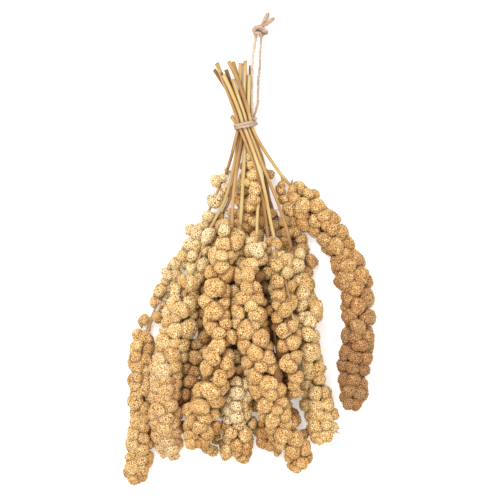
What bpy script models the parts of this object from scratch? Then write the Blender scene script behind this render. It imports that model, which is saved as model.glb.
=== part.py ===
"""A tied bunch of dried millet sprays, lying on a flat surface with its twine loop beside it.

+Y points from the seed heads to the cut stalk ends and the loop, +Z up from the surface.
Routes are plan views in millimetres; the heights follow from laying each spray over the
ones before it.
"""

import math
from dataclasses import dataclass

import bmesh
import bpy
import numpy as np
from mathutils import Matrix, Vector

MM = 0.001
COLLECTION = "millet_bunch"

# Straw stalks
STALK_RADIUS = 1.35
STALK_LIFT = 2.6           # clear height under the stalks at the tie
STALK_LAYER_STEP = 3.15    # between the layers of stalks in the tie
STALK_CLIMB = 1.25         # above 1, a stalk leaves the tie level and steepens later
STALK_PLAY = 0.6
STALK_RING_STEP = 7.0
STALK_STIFFNESS = 5.0

# Seed heads
HEAD_RING_STEP = 11.0
HEAD_STIFFNESS = 12.0
HEAD_TIP_RADIUS = 0.45     # of the radius there, at the blunt end
HEAD_TIP_LENGTH = 13.0
HEAD_SETTLE = 0.3          # how far a head flattens on the surface
HEAD_SIDES = 8
HEAD_FLAT = math.cos(math.pi / HEAD_SIDES)

# How pieces meet
GAP = 0.35
LAY_STEP = 0.8
LAY_ROUNDS = 4

# Twine
TIE_CENTRE = (-3.7, 112.0)
TIE_TILT = math.radians(13.0)
TIE_HEIGHT = 6.6
TIE_THICKNESS = 1.7
TIE_SIDES = 20
TIE_KNOT_CENTRE = (3.0, 121.0, 5.0)
TIE_KNOT_HALF = (2.0, 2.4, 3.0)
STRAND_LEFT_RADIUS = 1.25
STRAND_RIGHT_RADIUS = 1.0
STRAND_RING_STEP = 4.5
LOOP_KNOT_ROUTE = [
    (2.0, 182.6, 2.6, 1.2), (3.0, 182.6, 3.3, 2.6), (5.2, 182.9, 4.0, 3.6),
    (8.2, 183.0, 4.0, 3.6), (10.8, 184.3, 3.6, 3.0), (12.6, 188.0, 2.4, 2.2),
    (14.2, 192.0, 2.2, 2.1), (15.4, 194.6, 2.1, 1.9),
]


@dataclass
class Spray:
    """One cut spray: its layer in the tie, its stalk's plan route and its head's.

    A head's points also hold its radius there.
    """

    name: str
    layer: int
    stalk: list
    head: list


# Bottom of the pile first; layers in the tie count from 0 at the bottom
SPRAYS = [
    Spray(
        "01", 0,
        [(-12.5, 118.3), (-7.6, 112.5), (-3.5, 104.5), (-1.0, 94.0)],
        [(-1.0, 94.0, 6.0), (0.0, 70.0, 8.0), (1.0, 47.5, 9.0), (2.0, 21.5, 9.5),
         (4.5, -8.5, 10.0), (5.0, -38.5, 10.0), (7.0, -68.5, 10.0), (9.0, -98.5, 10.0),
         (13.0, -131.0, 9.0)],
    ),
    Spray(
        "02", 1,
        [(-13.0, 159.5), (-9.0, 146.5), (-3.8, 127.0), (0.1, 112.0), (4.7, 98.5), (9.4, 86.0),
         (11.8, 72.0), (13.6, 60.0), (16.0, 50.0)],
        [(16.0, 50.0, 4.5), (21.0, 42.0, 7.0), (27.0, 33.5, 8.5), (31.5, 25.0, 9.5),
         (36.0, 11.5, 9.5), (38.0, -6.5, 9.5), (39.0, -23.5, 9.0), (38.0, -42.5, 9.0),
         (37.0, -57.5, 8.0)],
    ),
    Spray(
        "03", 1,
        [(-18.0, 153.5), (-13.0, 137.5), (-7.7, 122.5), (-4.9, 112.0), (-6.0, 100.0),
         (-9.0, 83.0), (-15.0, 57.5), (-20.0, 46.0)],
        [(-20.0, 46.0, 4.5), (-25.5, 25.0, 7.0), (-31.0, 2.5, 8.5), (-34.5, -20.0, 9.5),
         (-38.0, -42.5, 9.5), (-42.0, -62.5, 9.5), (-45.0, -81.5, 9.5), (-45.0, -98.5, 9.5),
         (-40.0, -116.0, 9.0), (-32.0, -132.5, 8.0)],
    ),
    Spray(
        "04", 2,
        [(-7.0, 158.5), (-7.3, 137.5), (-7.8, 121.0), (-8.4, 112.0), (-11.0, 101.0),
         (-13.7, 89.5), (-17.0, 79.0)],
        [(-17.0, 79.0, 4.0), (-23.0, 65.5, 6.0), (-30.0, 49.0, 6.5), (-37.0, 34.0, 6.5),
         (-45.0, 19.0, 6.5), (-55.0, 4.0, 6.5), (-64.5, -12.5, 6.5), (-73.0, -29.0, 5.0),
         (-79.0, -46.0, 6.5), (-82.0, -65.0, 9.5), (-82.0, -87.5, 9.8), (-82.0, -110.0, 9.8),
         (-82.5, -132.5, 10.0), (-86.0, -159.0, 9.0)],
    ),
    Spray(
        "05", 3,
        [(-25.0, 158.0), (-16.7, 137.0), (-10.7, 120.5), (-8.3, 112.0), (-3.0, 98.5),
         (4.5, 79.0), (9.2, 58.0), (12.8, 32.5), (14.0, 19.0)],
        [(14.0, 19.0, 4.5), (15.0, -1.0, 7.0), (16.5, -23.5, 8.5), (19.0, -50.0, 9.0),
         (22.5, -76.0, 8.5), (27.0, -98.5, 7.0), (35.5, -121.0, 8.5)],
    ),
    Spray(
        "06", 2,
        [(-1.0, 149.5), (-1.4, 131.5), (-2.0, 112.0), (-3.3, 100.0), (-4.5, 84.5),
         (-5.5, 62.5), (-7.5, 35.5)],
        [(-7.5, 35.5, 5.0), (-8.5, 14.0, 7.5), (-11.5, -12.5, 9.0), (-14.5, -35.0, 10.0),
         (-14.5, -53.5, 10.5), (-11.5, -71.0, 11.0), (-8.5, -87.5, 11.5), (-9.5, -104.0, 11.5),
         (-9.0, -121.0, 11.5), (-7.5, -141.5, 10.0)],
    ),
    Spray(
        "07", 2,
        [(-3.5, 160.0), (-4.2, 137.5), (-4.9, 119.0), (-5.2, 110.0), (-8.4, 89.0),
         (-12.0, 62.0), (-13.5, 35.5)],
        [(-13.5, 35.5, 5.0), (-18.0, 17.5, 8.0), (-23.0, -1.0, 9.5), (-25.5, -20.0, 10.5),
         (-24.0, -35.0, 11.0), (-22.5, -50.0, 11.0), (-23.0, -66.5, 11.5),
         (-28.5, -86.0, 11.5), (-35.0, -104.0, 11.5), (-40.0, -128.0, 10.0)],
    ),
    Spray(
        "08", 1,
        [(-26.5, 152.5), (-18.5, 137.5), (-11.3, 122.0), (-8.1, 112.0), (-8.8, 100.0),
         (-12.5, 79.0), (-18.5, 56.5), (-25.5, 42.5), (-32.0, 29.5)],
        [(-32.0, 29.5, 3.5), (-38.0, 13.0, 5.0), (-45.0, -5.0, 7.0), (-49.5, -22.0, 9.0),
         (-53.0, -36.5, 10.5), (-59.0, -53.5, 11.0), (-62.0, -71.0, 11.2),
         (-64.0, -91.0, 11.2), (-63.0, -113.5, 11.0), (-58.5, -140.5, 10.0)],
    ),
    Spray(
        "09", 0,
        [(0.6, 157.0), (0.3, 134.0), (-0.4, 112.0), (1.2, 100.0), (4.6, 82.0),
         (6.8, 62.0), (5.6, 45.0), (5.0, 28.0)],
        [(5.0, 28.0, 5.0), (3.0, 11.5, 8.0), (-0.5, -8.5, 10.5), (-0.5, -27.5, 11.5),
         (1.5, -45.5, 11.8), (4.5, -59.0, 12.0), (8.5, -71.0, 12.0), (13.0, -83.5, 12.0),
         (18.0, -98.5, 12.0), (23.0, -113.0, 12.0), (29.0, -127.0, 11.5),
         (36.0, -146.0, 10.0)],
    ),
    Spray(
        "10", 3,
        [(-13.0, 146.0), (-8.3, 131.5), (-4.2, 119.5), (-2.0, 112.0), (2.6, 99.0),
         (9.0, 82.0), (17.6, 61.5), (26.0, 38.0), (31.5, 17.5)],
        [(31.5, 17.5, 4.0), (37.0, -3.5, 6.0), (40.5, -23.5, 7.5), (42.0, -42.5, 8.5),
         (43.5, -57.5, 9.5), (46.0, -72.5, 11.0), (49.5, -91.0, 11.5), (52.5, -106.0, 11.0),
         (55.5, -125.0, 10.0)],
    ),
    Spray(
        "11", 3,
        [(-20.0, 149.5), (-13.8, 136.0), (-8.1, 121.5), (-5.2, 112.0), (0.1, 98.5),
         (6.6, 79.0), (11.8, 58.0), (15.6, 38.0), (19.5, 20.5)],
        [(19.5, 20.5, 4.0), (23.0, 4.0, 7.0), (25.5, -12.5, 8.5), (26.0, -29.0, 9.0),
         (27.0, -46.0, 9.0), (28.5, -61.0, 9.0), (33.0, -81.5, 8.0)],
    ),
    Spray(
        "12", 3,
        [(-16.0, 159.5), (-10.6, 148.5), (-5.3, 134.0), (-0.9, 119.5), (1.1, 112.0),
         (4.6, 103.0), (11.6, 91.5), (22.0, 76.5), (31.0, 65.5)],
        [(31.0, 65.5, 6.0), (40.5, 54.5, 9.5), (51.0, 43.0, 11.0), (61.5, 29.5, 11.5),
         (70.5, 13.0, 11.8), (77.0, -5.0, 12.0), (81.0, -23.5, 12.0), (82.0, -42.5, 12.0),
         (80.0, -61.0, 11.8), (78.0, -80.0, 11.2), (77.0, -101.0, 10.0)],
    ),
]

# The loop's two strands, (x, y, z) from the tie to the top knot
STRAND_LEFT = [
    (1.6, 123.8, 7.2), (1.3, 127.0, 6.95), (1.3, 131.0, 6.95), (1.4, 140.0, 6.95),
    (1.6, 149.0, 6.95), (1.6, 154.0, 6.95), (1.7, 159.0, 6.6), (2.2, 165.0, 4.3),
    (3.0, 171.0, 2.1), (3.8, 175.5, 1.6), (4.4, 178.6, 2.4),
]
STRAND_RIGHT = [
    (4.6, 123.2, 3.2), (5.5, 127.0, 1.8), (6.0, 131.0, 1.05), (6.3, 140.0, 1.0),
    (6.6, 149.0, 1.0), (7.4, 158.0, 1.0), (7.7, 166.0, 1.0), (8.2, 173.5, 1.3),
    (8.5, 178.6, 2.4),
]

STRAW = (0.72, 0.50, 0.17)
SEED = (0.66, 0.41, 0.15)
TWINE = (0.62, 0.43, 0.31)


def material(name, colour, roughness):
    """Matt Principled material."""
    result = bpy.data.materials.new(name)
    result.use_nodes = True
    shader = result.node_tree.nodes["Principled BSDF"]
    shader.inputs["Base Color"].default_value = (*colour, 1.0)
    shader.inputs["Roughness"].default_value = roughness
    shader.inputs["Metallic"].default_value = 0.0
    return result


def smooth_line(points, step):
    """Points every step along a Catmull-Rom curve through the given points."""
    given = np.array(points, float)
    first = 2 * given[0] - given[1]
    last = 2 * given[-1] - given[-2]
    knots = np.vstack([first, given, last])
    fine = []
    for a, b, c, d in zip(knots, knots[1:], knots[2:], knots[3:]):
        for t in np.linspace(0.0, 1.0, 24, endpoint=False):
            fine.append(
                0.5 * (2 * b + (c - a) * t + (2 * a - 5 * b + 4 * c - d) * t**2
                       + (3 * b - a - 3 * c + d) * t**3)
            )
    fine.append(given[-1])
    fine = np.array(fine)
    run = np.concatenate([[0.0], np.cumsum(np.linalg.norm(np.diff(fine, axis=0), axis=1))])
    count = max(2, round(run[-1] / step) + 1)
    places = np.linspace(0.0, run[-1], count)
    return np.column_stack([np.interp(places, run, axis) for axis in fine.T])


def rounded_tip(line):
    """Draw a head's radius in towards its blunt round tip."""
    run = np.concatenate([[0.0], np.cumsum(np.linalg.norm(np.diff(line, axis=0), axis=1))])
    into_tip = np.clip((run - run[-1] + HEAD_TIP_LENGTH) / HEAD_TIP_LENGTH, 0.0, 1.0)
    line[:, 2] *= HEAD_TIP_RADIUS + (1 - HEAD_TIP_RADIUS) * np.sqrt(1 - into_tip**2)
    return line


def drape(required, lowest, stiffness):
    """Heights that clear what lies below and bend no sharper than the spray can."""
    reach = round(stiffness / LAY_STEP)
    weights = np.hanning(2 * reach + 3)[1:-1]
    weights /= weights.sum()
    heights = np.maximum(required, lowest)
    for _ in range(LAY_ROUNDS):
        padded = np.pad(heights, reach, mode="edge")
        heights = np.maximum(required, np.convolve(padded, weights, mode="valid"))
    return heights


def height_over(plan, radii, below):
    """Lowest centre heights at which a line of balls clears the balls laid before it."""
    heights = np.zeros(len(plan))
    for x, y, z, r in below:
        square = (radii + r + GAP) ** 2 - (plan[:, 0] - x) ** 2 - (plan[:, 1] - y) ** 2
        near = square > 0
        heights[near] = np.maximum(heights[near], z + np.sqrt(square[near]))
    return heights


def lay_heads():
    """Lay the seed heads one on another; each line holds x, y, z and radius."""
    laid = []
    for spray in SPRAYS:
        plan, radii = np.split(rounded_tip(smooth_line(spray.head, LAY_STEP)), [2], axis=1)
        radii = radii[:, 0]
        floor = radii * HEAD_FLAT - HEAD_SETTLE
        below = np.vstack(laid) if laid else np.zeros((0, 4))
        required = np.maximum(floor, height_over(plan, radii, below))
        laid.append(np.column_stack([plan, drape(required, floor, HEAD_STIFFNESS), radii]))
    return laid


def lay_stalks(heads):
    """Run each stalk level through the tie and up or down to its head, clear of the rest."""
    laid = [None] * len(SPRAYS)
    for index in sorted(range(len(SPRAYS)), key=lambda k: SPRAYS[k].layer):
        spray = SPRAYS[index]
        plan = smooth_line(spray.stalk, LAY_STEP)
        radii = np.full(len(plan), STALK_RADIUS)
        level = STALK_RADIUS + STALK_LIFT + spray.layer * STALK_LAYER_STEP
        foot = heads[index][0, 2]
        climb = np.clip((TIE_CENTRE[1] - TIE_HEIGHT / 2 - plan[:, 1]), 0.0, None)
        rise = level + (foot - level) * (climb / max(climb[-1], 1.0)) ** STALK_CLIMB
        below = [other for other in laid if other is not None] + heads[:index]
        required = height_over(plan, radii, np.vstack(below)) if below else np.zeros(len(plan))
        required = np.maximum(required, rise - STALK_PLAY)
        laid[index] = np.column_stack([plan, drape(required, rise, STALK_STIFFNESS), radii])
    return laid


def tube(name, rings, resolution):
    """Curve with round section and filled caps; rings are (x, y, z, radius) in millimetres."""
    curve = bpy.data.curves.new(name, "CURVE")
    curve.dimensions = "3D"
    curve.twist_mode = "Z_UP"
    curve.bevel_depth = MM
    curve.bevel_resolution = resolution
    curve.use_fill_caps = True
    spline = curve.splines.new("POLY")
    spline.points.add(len(rings) - 1)
    for point, (x, y, z, r) in zip(spline.points, rings):
        point.co = (x * MM, y * MM, z * MM, 1.0)
        point.radius = r
        point.tilt = math.pi / (4 + 2 * resolution)
    return bpy.data.objects.new(name, curve)


def thinned(line, step):
    """Every so many points of a laid line, with both of its ends."""
    count = max(2, round(len(line) * LAY_STEP / step) + 1)
    return line[np.linspace(0, len(line) - 1, count).round().astype(int)]


def rest_flat(tube_object):
    """Make the tube a mesh and flatten it where it lies on the surface."""
    depsgraph = bpy.context.evaluated_depsgraph_get()
    depsgraph.update()
    mesh = bpy.data.meshes.new_from_object(tube_object.evaluated_get(depsgraph))
    name = tube_object.name
    place = tube_object.matrix_world.copy()
    bpy.data.objects.remove(tube_object)
    shape = bmesh.new()
    shape.from_mesh(mesh)
    bmesh.ops.remove_doubles(shape, verts=shape.verts, dist=1e-6)
    bmesh.ops.bisect_plane(
        shape, geom=shape.verts[:] + shape.edges[:] + shape.faces[:], dist=1e-6,
        plane_co=(0, 0, 0), plane_no=(0, 0, -1), clear_outer=True,
    )
    bmesh.ops.holes_fill(shape, edges=[e for e in shape.edges if e.is_boundary])
    bmesh.ops.recalc_face_normals(shape, faces=shape.faces)
    shape.to_mesh(mesh)
    shape.free()
    result = bpy.data.objects.new(name, mesh)
    result.matrix_world = place
    return result


def tie_outline(stalks, growth):
    """Corners of the convex outline round all stalks at the tie, in its own width and height."""
    across = np.array([math.cos(TIE_TILT), math.sin(TIE_TILT)])
    along = np.array([-math.sin(TIE_TILT), math.cos(TIE_TILT)])
    points = np.vstack(stalks)
    offset = points[:, :2] - np.array(TIE_CENTRE)
    held = np.abs(offset @ along) < TIE_HEIGHT / 2 + 1.0
    width = offset[held] @ across
    height = points[held, 2]
    reach = points[held, 3] + growth
    turns = np.arange(TIE_SIDES) * 2 * math.pi / TIE_SIDES
    support = [
        np.max(width * math.cos(a) + height * math.sin(a) + reach) for a in turns
    ]
    corners = []
    for k in range(TIE_SIDES):
        a, b = turns[k], turns[k] + 2 * math.pi / TIE_SIDES
        ha, hb = support[k], support[(k + 1) % TIE_SIDES]
        spread = math.sin(b - a)
        corners.append((
            (ha * math.sin(b) - hb * math.sin(a)) / spread,
            (hb * math.cos(a) - ha * math.cos(b)) / spread,
        ))
    return corners


def tie_band(stalks):
    """The wraps of twine round the stalks, as one flat band."""
    shape = bmesh.new()
    low = [
        shape.verts.new((w * MM, -TIE_HEIGHT / 2 * MM, h * MM))
        for w, h in tie_outline(stalks, GAP)
    ]
    edges = [shape.edges.new((a, b)) for a, b in zip(low, low[1:] + low[:1])]
    wall = bmesh.ops.extrude_edge_only(shape, edges=edges)["geom"]
    top = [v for v in wall if isinstance(v, bmesh.types.BMVert)]
    bmesh.ops.translate(shape, verts=top, vec=(0, TIE_HEIGHT * MM, 0))
    bmesh.ops.recalc_face_normals(shape, faces=shape.faces)
    mesh = bpy.data.meshes.new("tie_band")
    shape.to_mesh(mesh)
    shape.free()
    band = bpy.data.objects.new("tie_band", mesh)
    band.location = (TIE_CENTRE[0] * MM, TIE_CENTRE[1] * MM, 0.0)
    band.rotation_euler = (0.0, 0.0, TIE_TILT)
    wrap = band.modifiers.new("thickness", "SOLIDIFY")
    wrap.thickness = TIE_THICKNESS * MM
    wrap.offset = 1.0
    wrap.use_even_offset = True
    return band


def tie_knot():
    """The small knot beside the band, where the loop leaves it."""
    shape = bmesh.new()
    bmesh.ops.create_uvsphere(shape, u_segments=12, v_segments=8, radius=MM)
    bmesh.ops.transform(
        shape, matrix=Matrix.Diagonal((*TIE_KNOT_HALF, 1.0)), verts=shape.verts
    )
    mesh = bpy.data.meshes.new("tie_knot")
    shape.to_mesh(mesh)
    shape.free()
    knot = bpy.data.objects.new("tie_knot", mesh)
    knot.location = Vector(TIE_KNOT_CENTRE) * MM
    return knot


def strand(name, route, radius):
    """One strand of the loop, from the tie to the top knot."""
    line = smooth_line(route, STRAND_RING_STEP)
    rings = np.column_stack([line, np.full(len(line), radius)])
    return tube(name, rings, 2)


def build():
    """Model every piece and put it in the bunch's collection."""
    for old in list(bpy.data.objects):
        bpy.data.objects.remove(old)
    straw = material("straw", STRAW, 0.6)
    seed = material("seed", SEED, 0.8)
    twine = material("twine", TWINE, 0.9)
    pieces = []
    heads = lay_heads()
    stalks = lay_stalks(heads)
    for spray, stalk, head in zip(SPRAYS, stalks, heads):
        rings = thinned(stalk, STALK_RING_STEP)
        pieces.append((tube("stem_" + spray.name, rings, 1), straw))
        head_tube = tube("seed_head_" + spray.name, thinned(head[1:], HEAD_RING_STEP), 2)
        bpy.context.scene.collection.objects.link(head_tube)
        pieces.append((rest_flat(head_tube), seed))
    pieces.append((tie_band(stalks), twine))
    pieces.append((tie_knot(), twine))
    pieces.append((strand("loop_strand_left", STRAND_LEFT, STRAND_LEFT_RADIUS), twine))
    pieces.append((strand("loop_strand_right", STRAND_RIGHT, STRAND_RIGHT_RADIUS), twine))
    pieces.append((tube("loop_knot", LOOP_KNOT_ROUTE, 2), twine))
    collection = bpy.data.collections.new(COLLECTION)
    bpy.context.scene.collection.children.link(collection)
    for piece, finish in pieces:
        collection.objects.link(piece)
        piece.data.materials.clear()
        piece.data.materials.append(finish)
        if piece.type == "MESH":
            piece.data.shade_smooth()
            piece.data.set_sharp_from_angle(angle=math.radians(50.0))


build()
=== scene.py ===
"""A tied bunch of dried millet sprays lying on a pale table, seen from straight above.

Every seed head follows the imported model's own: clusters of seeds on short twigs round a
tapering stem. Routes are plan views in millimetres, and +Y points to the cut stalk ends.
"""

import math
from dataclasses import dataclass, field

import bmesh
import bpy
import numpy as np
from mathutils import Matrix, Vector, noise
from mathutils.bvhtree import BVHTree


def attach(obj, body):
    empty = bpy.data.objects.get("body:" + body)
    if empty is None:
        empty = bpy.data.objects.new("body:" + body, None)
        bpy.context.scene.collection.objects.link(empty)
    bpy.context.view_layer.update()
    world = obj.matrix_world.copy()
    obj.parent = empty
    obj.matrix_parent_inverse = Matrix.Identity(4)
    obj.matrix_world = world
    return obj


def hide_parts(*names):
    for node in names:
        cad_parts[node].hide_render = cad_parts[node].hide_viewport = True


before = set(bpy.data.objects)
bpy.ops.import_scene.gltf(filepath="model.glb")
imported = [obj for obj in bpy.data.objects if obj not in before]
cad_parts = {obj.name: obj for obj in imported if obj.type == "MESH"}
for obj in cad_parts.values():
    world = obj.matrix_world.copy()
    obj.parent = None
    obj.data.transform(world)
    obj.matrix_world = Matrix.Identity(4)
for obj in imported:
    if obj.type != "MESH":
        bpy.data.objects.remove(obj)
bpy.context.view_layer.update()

MM = 0.001
SEED = 20

# Camera and the surface
FRAME_WIDTH = 375.0        # millimetres across the picture
FRAME_CENTRE = (0.0, 17.6)
FRAME_LEVEL = 20.0         # height at which the picture has that width
LENS = 200.0
SENSOR = 36.0
FLOOR_HALF = 3.0
FLOOR_DROP = 0.0002
FLOOR_GLOW = 0.35          # the surface's own faint light

# Seed clusters
SEED_PITCH = 1.72          # from seed to seed
SEED_SCATTER = 0.20        # of the pitch, how far seeds stray
SEED_UNEVEN = 0.13         # of the pitch, how far seeds stand out or lie back
SEED_DEPTH = 0.32          # of the pitch, depth of the gaps between seeds
PIT_DEPTH = 0.30           # of the pitch, how much deeper the deepest gaps are
KNOB_COUNT = 4             # round knobs that a cluster has
KNOB_REACH = 0.42          # of a cluster's radius, from its middle to a knob's
KNOB_RADIUS = 0.66
KNOB_SIZES = (0.88, 1.1)   # of that radius, from the smallest knob to the largest
KNOB_STRAY = 0.35
CORE_RADIUS = 0.90
LUMP_SIZE = 2.2
LUMP_HEIGHT = 0.05
CLUSTER_CLASSES = (3.2, 4.0, 4.8, 5.6, 6.4, 7.2)  # radii that have their own shapes
CLUSTER_SHAPES = 3         # shapes of each radius
SEEDED_DOWN_TO = (-0.15, -0.45, -0.75, -1.1)       # seeded caps, by how far the back shows
CLUSTER_TONE_SPREAD = 0.07
CLUSTER_WIDTH = (1.10, 1.26)
CLUSTER_BREADTH = (0.97, 1.10)
CLUSTER_LENGTH = (0.95, 1.05)
CLUSTER_DUST_AND_SHADE = (0.1, 1.0)  # how dark the dust and painted shade are that a cluster puts on its neighbours' edges
CLUSTER_WORN = (0.5, 1.3)  # of what the head has there
CLUSTER_BLUSH = (0.4, 1.2)
CLUSTER_FLATNESS = 0.76    # of a cluster's radius, how far it stands out
SEEN_TILT = 0.7            # how much clusters seen from above face up
SEEN_SIZES = (1.06, 0.96)  # of the size seen, for a cluster seen from its side and its end
CREVICE_WIDTH = 0.14       # of the radius, how far from a neighbour seeds carry dust and painted shade
SHADE_STEP = 0.13          # of ripeness, between shades
PROUD = 0.7                # seed clusters stand this far out of the CAD head
LEAN = math.radians(24.0)  # clusters lean towards the head's tip
GOLDEN_ANGLE = math.radians(137.5)
ANGLE_SPREAD = 0.15
HEAD_SIZES = [(0, 0.75), (0.1, 1.0), (0.93, 1.0), (1, 0.85)]  # along a head, of its size
SIZE_SPREAD = 0.15
SIZE_LIMITS = (-0.35, 0.25)
SPACING_SPREAD = (0.85, 1.15)
TWIG_BACK = 4              # points back along the stem, from a cluster to its twig's root
CROWDING = 0.76            # of two radii, how close neighbours may sit
DEEP_REACH = 1.35          # of a cluster's radius, how near the deepest furrow it gets painted shade
DEEP_SHADE = 1.3           # how dark that painted shade is, where 1 is as dark as the dust and painted shade of seeds pressed together
FURROW_REACH = 1.1         # of a cluster's radius, how near a furrow it may not sit
OPENING_REACH = 0.85       # of a cluster's radius, how near an opening it may not sit
UPPER_SIDE = 0.1           # clusters that face further up than this show from above
FACES_UP = 0.25            # and these block a furrow or a bare stretch
SETTLE_ROUNDS = 30
SETTLE_PUSH = 0.22
SETTLE_HOME = 0.12
SEEN_GIVE = 0.6            # how freely clusters that are seen from above move up and down
BAR_CLEARANCE = 0.95       # of a cluster's radius, how close a stalk may lie
FLOOR_SHARE = 0.82
SIGHT_LINES = 96           # directions in which a cluster looks for its neighbours
SIGHT_FROM = 0.95          # of its radius, where it looks from
SIGHT_STOPS = 0.88         # of a neighbour's radius, how near stops the view
CLOSED_IN = 0.95           # a cluster that shows less far down than this is hidden all round
BACK_MARGIN = 0.12         # seeds reach this much further down than it shows
NEIGHBOUR_REACH = 1.35     # of two radii, how near clusters darken each other
TILES = 6                  # small tiles along each side of a cell of a head's UV map

# Straw
STALK_SIDES = 12
STALK_RING = 2.2
STALK_RADIUS = 1.5
STALK_UNEVEN = 0.03        # of the radius
SHOWN_RADIUS = 0.95
SHOWN_WEAR = 0.5
SHOWN_LEVEL = 0.5          # above the clusters, where the stem lies on top
SHOWN_DROP = 2.0           # how far its ends dip
SHOWN_SIDES = 8
LEVEL_ROUNDS = 4           # how often the upper side of a head is smoothed for it
CUT_FLARE = 0.22           # of the radius, how much a cut end spreads at most
CUT_SLANT = 0.22           # slope of the cut
CUT_WALL = 0.4
CUT_DEPTH = 0.8
PRESSED_SHADE = [(0.3, 0.85), (1.3, 0.0)]  # millimetres from the next stalk, and how dark the painted shade is there
STALK_WORN = [(0, 0.35), (0.03, 0.05), (0.9, 0.1), (1, 0.3)]
STEM_SIDES = 6
STEM_RING = 4.0
STEM_FOOT = 0.85           # of a stalk's radius
STEM_TIP = 0.5
TWIG_SIDES = 5
TWIG_RADII = (0.55, 0.3)
LOOSE_HUSKS = 14           # dry husks at the foot of a head
HUSK_RADIUS = 0.34
WISP_HUSKS = 7             # dry husks in a tuft
WISP_SPREAD = 1.8          # how far their tips stand apart

# Twine
STRAND_LEFT_RADIUS = 1.25
STRAND_RIGHT_RADIUS = 1.0
KNOT_RADIUS = 1.4
HITCH_RADIUS = 0.95
TWINE_RING = 0.5
TWINE_SIDES = 12
TWINE_PLIES = 2
TWIST = 6.2                # millimetres along the twine for one turn of its plies
PLY_GROOVE = 0.26          # of the radius
TWINE_UNEVEN = 0.12        # of the radius
KINK = 0.5
FUZZ = 1.2                 # loose fibres to the millimetre
FRAY = 26                  # loose fibres at a cut end
FIBRE_RADII = (0.11, 0.09, 0.04)
FIBRE_LENGTHS = (0.7, 1.5)
FRAY_LENGTHS = (1.2, 2.8)
KNOT_TAIL = 1.35           # how far the top knot's ends spread
WRAP_RADIUS = 1.25
WRAP_TURNS = 2
WRAP_STEPS = 24            # to the turn
WRAP_PITCH = 1.9
WRAP_END = [(0.8, 2.0, 0.3), (2.2, 3.2, 0.8)]  # where its loose end goes: across, up, along
TIE_CENTRE = (-3.7, 112.0)
TIE_TILT = math.radians(13.0)


@dataclass
class Spray:
    """One cut spray: plan routes of its stalk and head, and how they look along the way.

    A head's points also hold its radius. Looks are stops of (share of the way, value).
    Crack shade says how dark the dust and painted shade between a head's clusters are, blush how
    pink its seeds.
    Clusters seen from above have a place, a radius and a shade from -2, pale, to 2, dark, which is
    partly their own colour and partly painted shade, or 3 for painted deep shade, and perhaps a
    lift.
    Shown are stretches of stem on top of the clusters.
    Wisps are tufts of dry husks, as the plan places of their root and their tip.
    """

    name: str
    stalk: list
    head: list
    straw: list
    size: float
    ripe: list
    worn: list
    spacing: list = field(default_factory=lambda: [(0, 3.2), (0.12, 2.65), (1, 2.65)])
    bare: tuple = (0.0, 0.0)
    crack_shade: float = 1.0
    blush: list = field(default_factory=lambda: [(0, 0.0)])
    shown: list = field(default_factory=list)
    wisps: list = field(default_factory=list)
    seen: list = field(default_factory=list)


@dataclass
class Cluster:
    """One cluster of seeds on a head: its middle, radius, outward direction and colours."""

    head: int
    place: np.ndarray
    size: float
    outward: np.ndarray
    root: np.ndarray
    ripe: float
    worn: float
    blush: float
    lowest: float = -1.0
    fixed: bool = False
    dust_and_shade: float = 1.0
    deep_shade: float = 0.0
    turned: Matrix = None


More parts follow.
